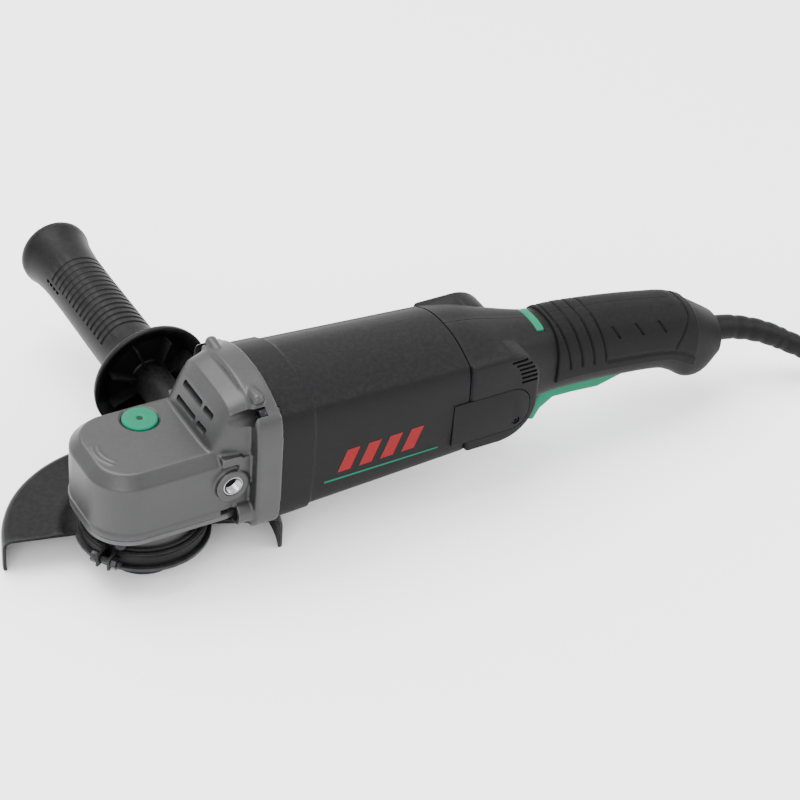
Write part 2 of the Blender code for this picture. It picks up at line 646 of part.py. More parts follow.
def make_motor_housing():
    front = FLANGE_REAR + GAP
    rear = MOTOR_REAR
    step = STATOR_FRONT + STATOR_LENGTH + 0.0080
    outer = [station(x, motor_outline(x), AXIS_Z) for x in (front, step, rear)]
    bores = ((rear, REAR_BORE), (step + 0.006, REAR_BORE), (step, MOTOR_BORE),
             (0.0785, MOTOR_BORE), (front, 0.0340))
    inner = [station(x, circle(radius), AXIS_Z) for x, radius in bores]
    housing = finish("motor_housing", loft(outer + inner, closed=True), LOOKS["housing"])
    for number, (across, up) in enumerate(screw_places(), 1):
        hole = rod(0.0022, front - 0.001, FLANGE_REAR + 0.0205, "X", (0, across, AXIS_Z + up), 12)
        cut(housing, finish("housing_hole_%d" % number, hole, None, cutter=True))
        seat = FLANGE_REAR - FLANGE_THICK + 0.008
        screw = turned(((0, seat - GAP - 0.0036), (0.0042, seat - GAP - 0.0036), (0.0042, seat - GAP),
                        (0.0019, seat - GAP), (0.0019, FLANGE_REAR + 0.0195), (0, FLANGE_REAR + 0.0195)),
                       "X", (0, across, AXIS_Z + up), 12)
        finish("housing_screw_%d" % number, screw, LOOKS["dark_steel"])
    for side, name in ((-1, "left"), (1, "right")):
        cut(housing, cover_cut(side, "housing_cover_seat_" + name))
        start, end = sorted((side * 0.025, side * 0.0323))
        window = box((COMMUTATOR_X - 0.0066, start, AXIS_Z - 0.0066),
                     (COMMUTATOR_X + 0.0066, end, AXIS_Z + 0.0066))
        cut(housing, finish("holder_window_" + name, window, None, cutter=True))


def make_stator():
    rear = STATOR_FRONT + STATOR_LENGTH
    outer = circle(STATOR_R, 48)
    inner = []
    for i in range(48):
        angle = math.tau * i / 48
        from_pole = abs((angle + math.pi / 2) % math.pi - math.pi / 2)
        radius = POLE_R if from_pole < math.radians(54) else STATOR_SLOT_R
        inner.append((radius * math.sin(angle), radius * math.cos(angle)))
    rings = [station(STATOR_FRONT, outer, AXIS_Z), station(rear, outer, AXIS_Z),
             station(rear, inner, AXIS_Z), station(STATOR_FRONT, inner, AXIS_Z)]
    finish("stator_core", loft(rings, closed=True), LOOKS["dark_steel"])
    for name, begin in (("top", 7), ("bottom", 187)):
        coil = turned(((0.0212, STATOR_FRONT - 0.0060), (0.0254, STATOR_FRONT - 0.0060),
                       (0.0254, rear + 0.0060), (0.0212, rear + 0.0060)), "X", (0, 0, AXIS_Z), 20,
                      math.radians(begin), math.radians(166))
        field = finish("field_coil_" + name, coil, LOOKS["copper"])
        window = turned(((0.0185, STATOR_FRONT - 0.0006), (0.0290, STATOR_FRONT - 0.0006),
                         (0.0290, rear + 0.0006), (0.0185, rear + 0.0006)), "X", (0, 0, AXIS_Z), 14,
                        math.radians(begin + 21), math.radians(124))
        cut(field, finish("coil_window_" + name, window, None, cutter=True))


def make_rotor():
    rear = STATOR_FRONT + STATOR_LENGTH
    pivot = (0, 0, AXIS_Z)
    thin = SHAFT_R * 0.56 - GAP
    shaft = turned(((0, PINION_FRONT - 0.0015), (thin, PINION_FRONT - 0.0015), (thin, PINION_REAR + GAP),
                    (SHAFT_R, PINION_REAR + GAP), (SHAFT_R, 0.1728), (0, 0.1728)), "X", pivot, 16)
    finish("rotor_shaft", shaft, LOOKS["steel"], pivot)
    outline = []
    for angle, high in tooth_shape(12, (0.78, 0.86)):
        radius = ARMATURE_R if high else ARMATURE_R - 0.0045
        outline.append((radius * math.cos(angle), radius * math.sin(angle)))
    bore = [((SHAFT_R + GAP) * math.cos(angle), (SHAFT_R + GAP) * math.sin(angle))
            for angle, _ in tooth_shape(12, (0.25, 0.75))]
    front = STATOR_FRONT + 0.001
    back = rear - 0.001
    rings = [station(front, outline, AXIS_Z), station(back, outline, AXIS_Z),
             station(back, bore, AXIS_Z), station(front, bore, AXIS_Z)]
    finish("armature_core", loft(rings, closed=True), LOOKS["dark_steel"], pivot)
    for name, start, end in (("front", front - GAP - 0.0070, front - GAP),
                             ("rear", back + GAP, back + GAP + 0.0075)):
        winding = turned(((SHAFT_R + GAP, start), (0.0150, start), (0.0175, (start + end) / 2),
                          (0.0165, end), (SHAFT_R + GAP, end)), "X", pivot, 20)
        finish("armature_winding_" + name, winding, LOOKS["copper"], pivot)
    commutator = tube(SHAFT_R + GAP, COMMUTATOR_R, COMMUTATOR_X - 0.0058, COMMUTATOR_X + 0.0070,
                      "X", pivot, 24)
    finish("commutator", commutator, LOOKS["copper"], pivot)
    disc = turned(((SHAFT_R + GAP, 0.0660), (0.0100, 0.0660), (FAN_R, 0.0730), (FAN_R, 0.0745),
                   (0.0100, 0.0760), (SHAFT_R + GAP, 0.0760)), "X", pivot, 24)
    fan = finish("fan", disc, LOOKS["housing"], pivot)
    blades = bmesh.new()
    for i in range(9):
        blade = box((0.0650, 0.0130, -0.0007), (0.0738, FAN_R - 0.0010, 0.0007))
        spin = Matrix.Translation(pivot) @ Matrix.Rotation(math.tau * i / 9, 4, "X")
        bmesh.ops.transform(blade, verts=blade.verts, matrix=spin)
        mesh = bpy.data.meshes.new("blade")
        blade.to_mesh(mesh)
        blade.free()
        blades.from_mesh(mesh)
        bpy.data.meshes.remove(mesh)
    cut(fan, finish("fan_blades", blades, None, cutter=True), "UNION")
    front_bearing = tube(SHAFT_R + GAP, 0.0160, 0.0365, 0.0465, "X", pivot, 24)
    finish("front_bearing", front_bearing, LOOKS["steel"])
    rear_bearing = tube(SHAFT_R + GAP, 0.0110, 0.1648, 0.1718, "X", pivot, 24)
    finish("rear_bearing", rear_bearing, LOOKS["steel"])
    seat = turned(((0.0110 + GAP, 0.1650), (REAR_BORE - GAP, 0.1650), (REAR_BORE - GAP, 0.1738),
                   (0.0060, 0.1738), (0.0060, 0.1721), (0.0110 + GAP, 0.1721)), "X", pivot, 28)
    finish("bearing_bracket", seat, LOOKS["housing"])
    baffle = turned(((0.0215, 0.0788), (MOTOR_BORE - GAP, 0.0788), (MOTOR_BORE - GAP, 0.0830),
                     (0.0292, 0.0805), (0.0215, 0.0805)), "X", pivot, 28)
    finish("air_baffle", baffle, LOOKS["housing"])


def make_brush_gear():
    for side, name in ((-1, "left"), (1, "right")):
        middle = (COMMUTATOR_X, AXIS_Z)
        rings = []
        for y, half in ((0.0140, 0.0060), (0.0318, 0.0060), (0.0318, BRUSH_THICK / 2 + GAP),
                        (0.0140, BRUSH_THICK / 2 + GAP)):
            corners = ((-half, -half), (half, -half), (half, half), (-half, half))
            rings.append([(middle[0] + a, side * y, middle[1] + b) for a, b in corners])
        finish("brush_holder_" + name, loft(rings, closed=True), LOOKS["brass"])
        half = BRUSH_THICK / 2
        start, end = sorted((side * (COMMUTATOR_R + GAP), side * 0.0290))
        brush = box((middle[0] - half, start, middle[1] - half), (middle[0] + half, end, middle[1] + half))
        finish("carbon_brush_" + name, brush, LOOKS["carbon"])
        outline = rounded((COVER_FRONT, COVER_BOTTOM), (COVER_REAR, COVER_TOP), (0, 0.0120, 0.0120, 0), 4)
        start, end = sorted((side * (POD_HALF_WIDTH - 0.0042 + GAP), side * (POD_HALF_WIDTH + 0.0004)))
        finish("brush_cover_" + name, prism(outline, "Y", start, end), LOOKS["housing"])


# x, half width, top, bottom and squareness of the handle's outside
HANDLE_STATIONS = (
    (MOTOR_REAR + GAP, MOTOR_REAR_HALF_WIDTH, AXIS_Z + MOTOR_REAR_TOP, AXIS_Z - MOTOR_REAR_DEPTH, 3.6),
    (0.1988, 0.0310, 0.0990, 0.0325, 3.4),
    (0.2158, 0.0260, 0.0945, 0.0345, 3.0),
    (0.2328, 0.0222, 0.0900, 0.0365, 2.7),
    (0.2458, 0.0203, 0.0872, 0.0380, 2.6),
    (0.2638, 0.0194, 0.0862, 0.0378, 2.6),
    (0.2988, 0.0190, 0.0808, 0.0348, 2.6),
    (0.3268, 0.0186, 0.0752, 0.0305, 2.6),
    (0.3378, 0.0182, 0.0728, 0.0248, 2.6),
    (PAD_REAR, 0.0177, 0.0680, 0.0170, 2.6),
    (0.3600, 0.0166, 0.0610, 0.0165, 2.4),
    (HANDLE_REAR, 0.0138, 0.0540, 0.0250, 2.2),
)


def handle_at(x):
    """Half width, top, bottom and squareness at x, between the stations."""
    for low, high in zip(HANDLE_STATIONS, HANDLE_STATIONS[1:]):
        if x <= high[0]:
            share = (x - low[0]) / (high[0] - low[0])
            return [a + (b - a) * share for a, b in zip(low[1:], high[1:])]
    return list(HANDLE_STATIONS[-1][1:])


def half_arc(half_width, up, down, power, side, steps=12):
    """Half of a rounded outline on one side of the parting plane, from its top to its bottom."""
    points = []
    for i in range(steps + 1):
        angle = math.pi / 2 - math.pi * i / steps
        c, s = max(math.cos(angle), 0.0), math.sin(angle)
        across = side * max(half_width * c ** (2 / power), GAP / 2)
        height = (up if s > 0 else down) * math.copysign(abs(s) ** (2 / power), s)
        points.append((across, height))
    return points


def shell_ring(x, values, side):
    half_width, top, bottom, power = values
    middle = (top + bottom) / 2
    outer = half_arc(half_width, top - middle, middle - bottom, power, side)
    share = min((x - MOTOR_REAR) / (SADDLE_X - MOTOR_REAR), 1)
    square = casing_half(half_width, top - AXIS_Z, AXIS_Z - bottom, side)
    outer = [(share * a + (1 - share) * c, share * b + (1 - share) * (d + AXIS_Z - middle))
             for (a, b), (c, d) in zip(outer, square)]
    if x > HANDLE_REAR - 0.0060:
        hole = SLEEVE_ROOT_R + GAP
        inner = [(a, EXIT_Z - middle + b) for a, b in half_arc(hole, hole, hole, 2, side)]
    elif x < MOTOR_REAR + 0.004:
        inner = half_arc(REAR_BORE, AXIS_Z + REAR_BORE - middle, middle - AXIS_Z + REAR_BORE, 2, side)
    else:
        wall = SHELL_WALL
        inner = half_arc(half_width - wall, top - middle - wall, middle - bottom - wall, power, side)
    return [(x, a, middle + b) for a, b in outer + inner[::-1]]


def make_handle():
    opening = box((0.2373, -TRIGGER_HALF_WIDTH - RUN, 0.0050), (0.3243, TRIGGER_HALF_WIDTH + RUN, 0.0525))
    trigger_opening = finish("trigger_opening", opening, None, cutter=True)
    half = SADDLE_LENGTH / 2 + RUN
    slot = box((SADDLE_X - half, -SADDLE_HALF_WIDTH - RUN, 0.0800),
               (SADDLE_X + half, SADDLE_HALF_WIDTH + RUN, 0.1100))
    saddle_slot = finish("saddle_slot", slot, None, cutter=True)
    for side, name in ((-1, "left"), (1, "right")):
        extra = [(HANDLE_REAR - 0.0062, *handle_at(HANDLE_REAR - 0.0062)),
                 (HANDLE_REAR - 0.0056, *handle_at(HANDLE_REAR - 0.0056))]
        stations = sorted(list(HANDLE_STATIONS) + extra)
        rings = [shell_ring(values[0], values[1:], side) for values in stations]
        shell = finish("handle_shell_" + name, loft(rings), LOOKS["housing"])
        outline = rounded((MOTOR_REAR + GAP, 0.0341), (POD_REAR, 0.0931), (0, 0.0240, 0.0200, 0), 5)
        start, end = sorted((side * 0.0160, side * POD_HALF_WIDTH))
        pod = prism(outline, "Y", start, end)
        cut(shell, finish("pod_" + name, pod, None, cutter=True), "UNION")
        room = rounded((MOTOR_REAR - 0.001, 0.0376), (POD_REAR - 0.0040, 0.0896), (0, 0.0200, 0.0160, 0), 4)
        start, end = sorted((side * 0.0200, side * (POD_HALF_WIDTH - 0.0068)))
        cut(shell, finish("pod_room_" + name, prism(room, "Y", start, end), None, cutter=True))
        cut(shell, cover_cut(side, "shell_cover_seat_" + name))
        cut(shell, trigger_opening)
        cut(shell, saddle_slot)
        pads = []
        places = [PAD_FRONT] + [values[0] for values in HANDLE_STATIONS if PAD_FRONT < values[0] <= PAD_REAR]
        for x in places:
            half_width, top, bottom, power = handle_at(x)
            middle = (top + bottom) / 2
            far = half_arc(half_width + PAD_THICK + GAP, top - middle + PAD_THICK + GAP,
                           middle - bottom, power, side, 20)[:13]
            near = half_arc(half_width + GAP, top - middle + GAP, middle - bottom, power, side, 20)[:13]
            pads.append([(x, a, middle + b) for a, b in far + near[::-1]])
        finish("soft_grip_" + name, loft(pads), LOOKS["rubber"])


def make_controls():
    px, pz = TRIGGER_PIVOT
    outline = ((px + 0.0045, pz - 0.0025), (px + 0.0020, pz + 0.0035), (px - 0.0300, pz + 0.0005),
               (px - 0.0620, pz - 0.0005), (px - 0.0690, pz - 0.0050), (px - 0.0735, pz - 0.0150),
               (px - 0.0755, pz - 0.0240), (px - 0.0720, pz - 0.0250), (px - 0.0680, pz - 0.0180),
               (px - 0.0600, pz - 0.0125), (px - 0.0460, pz - 0.0130), (px - 0.0290, pz - 0.0145),
               (px - 0.0150, pz - 0.0110), (px - 0.0030, pz - 0.0085))
    lever = prism(outline, "Y", -TRIGGER_HALF_WIDTH, TRIGGER_HALF_WIDTH)
    trigger = finish("trigger", lever, LOOKS["green"], (px, 0, pz))
    hole = rod(0.0015 + RUN, -0.02, 0.02, "Y", (px, 0, pz), 12)
    cut(trigger, finish("trigger_pin_hole", hole, None, cutter=True))
    finish("trigger_pin", rod(0.0015, -0.0120, 0.0120, "Y", (px, 0, pz), 12), LOOKS["steel"])
    finish("switch_module", box((0.2678, -0.0110, 0.0535), (0.3038, 0.0110, 0.0720)), LOOKS["grip"])
    half_width, top, bottom, power = handle_at(SADDLE_X)
    middle = (top + bottom) / 2
    outer = []
    inner = []
    for i in range(9):
        across = SADDLE_HALF_WIDTH * (1 - i / 4)
        drop = (1 - (abs(across) / half_width) ** power) ** (1 / power)
        outer.append((across, middle + (top - middle) * drop + 0.0004))
        inner.append((across, middle + (top - middle) * drop - 0.0034))
    saddle = prism(outer + inner[::-1], "X", SADDLE_X - SADDLE_LENGTH / 2, SADDLE_X + SADDLE_LENGTH / 2)
    finish("lock_on_button", saddle, LOOKS["green"], (SADDLE_X, 0, top))


def make_side_handle():
    place = (BOSS_X, 0, BOSS_Z)
    hub = BOSS_FACE + GAP
    bore_end = hub + 0.0180
    profile = ((STUD_R + GAP, hub), (0.0105, hub), (0.0105, CUP_Y + 0.0040), (0.0240, CUP_Y + 0.0060),
               (CUP_R - 0.0022, CUP_Y), (CUP_R, CUP_Y + 0.0012), (0.0280, CUP_Y + 0.0085),
               (GRIP_R + 0.0006, CUP_Y + CUP_DEPTH), (GRIP_R, CUP_Y + 0.0260), (GRIP_R - 0.0004, 0.1560),
               (GRIP_R + 0.0004, SIDE_HANDLE_END - 0.0210), (KNOB_R - 0.0010, SIDE_HANDLE_END - 0.0080),
               (KNOB_R, SIDE_HANDLE_END - 0.0045), (KNOB_R - 0.0030, SIDE_HANDLE_END),
               (0, SIDE_HANDLE_END), (0, bore_end), (STUD_R + GAP, bore_end))
    finish("side_handle", turned(profile, "Y", place, 24), LOOKS["grip"])
    stud = rod(STUD_R, BOSS_FACE - 0.0060, bore_end - GAP, "Y", place, 16)
    finish("side_handle_stud", stud, LOOKS["steel"])


def sweep_rings(points, radii, steps=12):
    """Rings across a route, kept from twisting by carrying one side vector along it."""
    rings = []
    side = Vector((0, 1, 0))
    for i, point in enumerate(points):
        before = points[max(i - 1, 0)]
        after = points[min(i + 1, len(points) - 1)]
        forward = (after - before).normalized()
        side = (side - forward * side.dot(forward)).normalized()
        up = forward.cross(side)
        radius = radii[i]
        turns = [math.tau * k / steps for k in range(steps)]
        rings.append([point + radius * (math.cos(a) * side + math.sin(a) * up) for a in turns])
    return rings


def make_mains_lead():
    line = smooth_route(SLEEVE_ROUTE, 0.0085)
    count = len(line)
    radii = [SLEEVE_ROOT_R + (SLEEVE_TIP_R - SLEEVE_ROOT_R) * i / (count - 1) for i in range(count)]
    finish("cable_sleeve", loft(sweep_rings(line, radii)), LOOKS["grip"])
    wire = bpy.data.curves.new("power_cord", "CURVE")
    wire.dimensions = "3D"
    wire.bevel_depth = CORD_R
    wire.bevel_resolution = 3
    wire.use_fill_caps = True
    route = smooth_route(CORD_ROUTE, 0.0090)
    spline = wire.splines.new("POLY")
    spline.points.add(len(route) - 1)
    for i, point in enumerate(route):
        spline.points[i].co = (*point, 1)
    cord = bpy.data.objects.new("power_cord", wire)
    bpy.context.scene.collection.objects.link(cord)
    wire.materials.append(LOOKS["grip"])
    height = 2 * CORD_R * COIL_LAYERS
    coil = tube(COIL_R - 2 * CORD_R, COIL_R + 2 * CORD_R, 0.0001, height, "Z", (*COIL_CENTRE, 0), 32)
    finish("cord_coil", coil, LOOKS["grip"])
    place = (COIL_CENTRE[0] + COIL_R + CORD_R, PLUG_Y, PLUG_Z)
    body = turned(((0, 0), (0.0060, 0), (0.0085, 0.0060), (0.0100, 0.0120), (0.0178, 0.0260),
                   (0.0178, 0.0330), (0, 0.0330)), "Y", place, 20)
    finish("plug_body", body, LOOKS["grip"])
    for number, side in enumerate((-1, 1), 1):
        pin = rod(0.0024, 0.0330 + GAP, 0.0330 + GAP + 0.0190, "Y",
                  (place[0] + side * 0.0095, PLUG_Y, PLUG_Z), 12)
        finish("plug_pin_%d" % number, pin, LOOKS["brass"])


clear_scene()
make_looks()
make_gear_housing()
make_bearing_cover()
make_crown_gear()
make_pinion()
make_spindle()
make_spindle_lock()
make_guard()
make_motor_housing()
make_stator()
make_rotor()
make_brush_gear()
make_handle()
make_controls()
make_side_handle()
make_mains_lead()
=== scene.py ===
import math

import bmesh
import bpy
import numpy as np
from mathutils import Matrix, Vector


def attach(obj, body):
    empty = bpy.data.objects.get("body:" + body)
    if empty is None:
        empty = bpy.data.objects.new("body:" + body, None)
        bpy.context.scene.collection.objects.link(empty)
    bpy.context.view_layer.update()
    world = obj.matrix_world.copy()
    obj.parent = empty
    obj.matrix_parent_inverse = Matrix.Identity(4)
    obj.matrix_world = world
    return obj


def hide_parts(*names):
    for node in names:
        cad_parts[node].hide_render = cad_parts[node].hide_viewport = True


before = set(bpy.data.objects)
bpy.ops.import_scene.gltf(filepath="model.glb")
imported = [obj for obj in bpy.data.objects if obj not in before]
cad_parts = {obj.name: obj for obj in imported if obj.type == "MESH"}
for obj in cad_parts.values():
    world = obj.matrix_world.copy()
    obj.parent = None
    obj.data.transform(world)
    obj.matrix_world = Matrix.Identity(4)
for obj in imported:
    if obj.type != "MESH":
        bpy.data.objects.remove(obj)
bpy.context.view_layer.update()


# ---------------------------------------------------------------- Studio
# A pale bench top under soft lamps, with the camera above the gear head's open side, so that the
# whole tool lies across the picture from its nose to the lead.

def object_from(name, points, faces, finish=None, angle=30):
    """A mesh object with smooth faces, kept sharp where they meet at more than angle."""
    mesh = bpy.data.meshes.new(name)
    mesh.from_pydata([tuple(p) for p in points], [], [tuple(f) for f in faces])
    mesh.update()
    made = bpy.data.objects.new(name, mesh)
    bpy.context.scene.collection.objects.link(made)
    if finish:
        mesh.materials.append(finish)
    mesh.shade_smooth()
    mesh.set_sharp_from_angle(angle=math.radians(angle))
    return made


def new_node(tree, kind, **values):
    """A node of a shader or geometry tree, with its named or numbered inputs set."""
    node = tree.nodes.new(kind)
    for key, value in values.items():
        if hasattr(node, key):
            setattr(node, key, value)
        else:
            node.inputs[key.replace("_", " ")].default_value = value
    return node


def new_group(name, inputs, outputs, kind="ShaderNodeTree"):
    """An empty node group with its inputs and outputs, and the two nodes at its ends."""
    tree = bpy.data.node_groups.new(name, kind)
    for label, socket, value in inputs:
        item = tree.interface.new_socket(name=label, in_out="INPUT", socket_type=socket)
        if value is not None:
            item.default_value = value
    for label, socket in outputs:
        tree.interface.new_socket(name=label, in_out="OUTPUT", socket_type=socket)
    return tree, tree.nodes.new("NodeGroupInput"), tree.nodes.new("NodeGroupOutput")


camera_data = bpy.data.cameras.new("bench_camera")
camera_data.lens = 117.2
camera_data.sensor_width = 36
camera_data.clip_end = 20
camera = bpy.data.objects.new("bench_camera", camera_data)
camera_right = Vector((0.871, -0.487, 0.065)).normalized()
camera_ahead = Vector((0.421, 0.672, -0.609))
camera_ahead = (camera_ahead - camera_right * camera_ahead.dot(camera_right)).normalized()
camera_up = camera_right.cross(camera_ahead)
camera.matrix_world = Matrix((
    (camera_right.x, camera_up.x, -camera_ahead.x, -0.4567),
    (camera_right.y, camera_up.y, -camera_ahead.y, -0.9799),
    (camera_right.z, camera_up.z, -camera_ahead.z, 0.9434),
    (0, 0, 0, 1)))
bpy.context.scene.collection.objects.link(camera)
bpy.context.scene.camera = camera

bench_look = bpy.data.materials.new("bench_top")
bench_look.use_nodes = True
bench_tree = bench_look.node_tree
bench_shader = bench_tree.nodes["Principled BSDF"]
bench_shader.inputs["Roughness"].default_value = 0.7
bench_shader.inputs["Specular IOR Level"].default_value = 0.1
bench_cloud = new_node(bench_tree, "ShaderNodeTexNoise", Scale=3.0, Detail=4.0)
bench_tint = new_node(bench_tree, "ShaderNodeMix", data_type="RGBA")
bench_tint.inputs["A"].default_value = (0.93, 0.93, 0.935, 1)
bench_tint.inputs["B"].default_value = (0.97, 0.97, 0.97, 1)
bench_tree.links.new(bench_cloud.outputs["Fac"], bench_tint.inputs["Factor"])
bench_tree.links.new(bench_tint.outputs["Result"], bench_shader.inputs["Base Color"])
bench = object_from("bench_top", [(-9, -9, -0.0004), (9, -9, -0.0004), (9, 9, -0.0004), (-9, 9, -0.0004)],
                    [(0, 1, 2, 3)], bench_look)

world = bpy.data.worlds.new("studio")
world.use_nodes = True
world.node_tree.nodes["Background"].inputs["Color"].default_value = (1.0, 1.0, 1.0, 1)
world.node_tree.nodes["Background"].inputs["Strength"].default_value = 2.2
bpy.context.scene.world = world
for lamp_name, lamp_place, lamp_aim, lamp_side, lamp_power in (
        ("lamp_over", (-0.25, 0.55, 1.75), (0.10, 0, 0.05), 1.5, 62),
        ("lamp_near", (-1.15, -1.35, 1.15), (0.10, 0, 0.05), 1.1, 24),
        ("lamp_tail", (1.45, -0.65, 1.10), (0.25, 0, 0.05), 0.9, 18)):
    lamp_data = bpy.data.lights.new(lamp_name, "AREA")
    lamp_data.shape = "SQUARE"
    lamp_data.size = lamp_side
    lamp_data.energy = lamp_power
    lamp = bpy.data.objects.new(lamp_name, lamp_data)
    lamp.location = lamp_place
    lamp.rotation_euler = (Vector(lamp_aim) - Vector(lamp_place)).to_track_quat("-Z", "Y").to_euler()
    bpy.context.scene.collection.objects.link(lamp)


# ---------------------------------------------------------------- Mains lead
# A rubber-sheathed two-core lead. It leaves the tail in a ribbed rubber sleeve, drops to the bench and
# is put away in a round coil, held by a hook-and-loop tie, with a moulded two-pin plug on its end.

# Rubber, moulded and cast skins: the fine grain that the mould leaves, a slow change of tone, edges rubbed
# brighter in use, and a little dust where it settles on faces that look up.
def make_grain_group():
    """Grain height from two sizes of pimple, and a slow tone between 0 and 1."""
    tree, start, end = new_group(
        "mould_grain",
        [("Size", "NodeSocketFloat", 0.0008), ("Unevenness", "NodeSocketFloat", 0.35),
         ("Cloud Size", "NodeSocketFloat", 0.03)],
        [("Height", "NodeSocketFloat"), ("Tone", "NodeSocketFloat"), ("Speckle", "NodeSocketFloat")])
    where = tree.nodes.new("ShaderNodeTexCoord")
    per_metre = new_node(tree, "ShaderNodeMath", operation="DIVIDE")
    per_metre.inputs[0].default_value = 1.0
    tree.links.new(start.outputs["Size"], per_metre.inputs[1])
    cells = new_node(tree, "ShaderNodeTexVoronoi", feature="SMOOTH_F1")
    fine = new_node(tree, "ShaderNodeTexNoise", Detail=3.0, Roughness=0.6)
    for texture in (cells, fine):
        tree.links.new(where.outputs["Object"], texture.inputs["Vector"])
        tree.links.new(per_metre.outputs[0], texture.inputs["Scale"])
    both = new_node(tree, "ShaderNodeMix")
    tree.links.new(start.outputs["Unevenness"], both.inputs["Factor"])
    tree.links.new(cells.outputs["Distance"], both.inputs["A"])
    tree.links.new(fine.outputs["Fac"], both.inputs["B"])
    per_cloud = new_node(tree, "ShaderNodeMath", operation="DIVIDE")
    per_cloud.inputs[0].default_value = 1.0
    tree.links.new(start.outputs["Cloud Size"], per_cloud.inputs[1])
    cloud = new_node(tree, "ShaderNodeTexNoise", Detail=5.0, Roughness=0.55)
    tree.links.new(where.outputs["Object"], cloud.inputs["Vector"])
    tree.links.new(per_cloud.outputs[0], cloud.inputs["Scale"])
    spread = new_node(tree, "ShaderNodeMapRange")
    spread.inputs["From Min"].default_value = 0.32
    spread.inputs["From Max"].default_value = 0.68
    tree.links.new(cloud.outputs["Fac"], spread.inputs["Value"])
    tree.links.new(both.outputs["Result"], end.inputs["Height"])
    tree.links.new(spread.outputs["Result"], end.inputs["Tone"])
    tree.links.new(fine.outputs["Fac"], end.inputs["Speckle"])
    return tree


def make_wear_group():
    """A mask that is high on edges that stand out, broken up as rubbing breaks it up."""
    tree, start, end = new_group("rubbed_edges", [("Amount", "NodeSocketFloat", 0.5)],
                                 [("Mask", "NodeSocketFloat")])
    shape = tree.nodes.new("ShaderNodeNewGeometry")
    edge = new_node(tree, "ShaderNodeMapRange")
    edge.inputs["From Min"].default_value = 0.52
    edge.inputs["From Max"].default_value = 0.66
    tree.links.new(shape.outputs["Pointiness"], edge.inputs["Value"])
    where = tree.nodes.new("ShaderNodeTexCoord")
    patch = new_node(tree, "ShaderNodeTexNoise", Scale=160.0, Detail=5.0, Roughness=0.7)
    tree.links.new(where.outputs["Object"], patch.inputs["Vector"])
    broken = new_node(tree, "ShaderNodeMath", operation="MULTIPLY")
    tree.links.new(edge.outputs["Result"], broken.inputs[0])
    tree.links.new(patch.outputs["Fac"], broken.inputs[1])
    scaled = new_node(tree, "ShaderNodeMath", operation="MULTIPLY", use_clamp=True)
    tree.links.new(broken.outputs[0], scaled.inputs[0])
    tree.links.new(start.outputs["Amount"], scaled.inputs[1])
    tree.links.new(scaled.outputs[0], end.inputs["Mask"])
    return tree


def make_dust_group():
    """A thin, patchy mask on faces that look up."""
    tree, start, end = new_group("settled_dust", [("Amount", "NodeSocketFloat", 0.1)],
                                 [("Mask", "NodeSocketFloat")])
    shape = tree.nodes.new("ShaderNodeNewGeometry")
    parts = tree.nodes.new("ShaderNodeSeparateXYZ")
    tree.links.new(shape.outputs["Normal"], parts.inputs[0])
    upward = new_node(tree, "ShaderNodeMapRange")
    upward.inputs["From Min"].default_value = 0.2
    tree.links.new(parts.outputs["Z"], upward.inputs["Value"])
    where = tree.nodes.new("ShaderNodeTexCoord")
    specks = new_node(tree, "ShaderNodeTexNoise", Scale=420.0, Detail=6.0, Roughness=0.75)
    tree.links.new(where.outputs["Object"], specks.inputs["Vector"])
    thin = new_node(tree, "ShaderNodeMapRange")
    thin.inputs["From Min"].default_value = 0.42
    thin.inputs["From Max"].default_value = 0.75
    tree.links.new(specks.outputs["Fac"], thin.inputs["Value"])
    both = new_node(tree, "ShaderNodeMath", operation="MULTIPLY")
    tree.links.new(upward.outputs["Result"], both.inputs[0])
    tree.links.new(thin.outputs["Result"], both.inputs[1])
    scaled = new_node(tree, "ShaderNodeMath", operation="MULTIPLY", use_clamp=True)
    tree.links.new(both.outputs[0], scaled.inputs[0])
    tree.links.new(start.outputs["Amount"], scaled.inputs[1])
    tree.links.new(scaled.outputs[0], end.inputs["Mask"])
    return tree


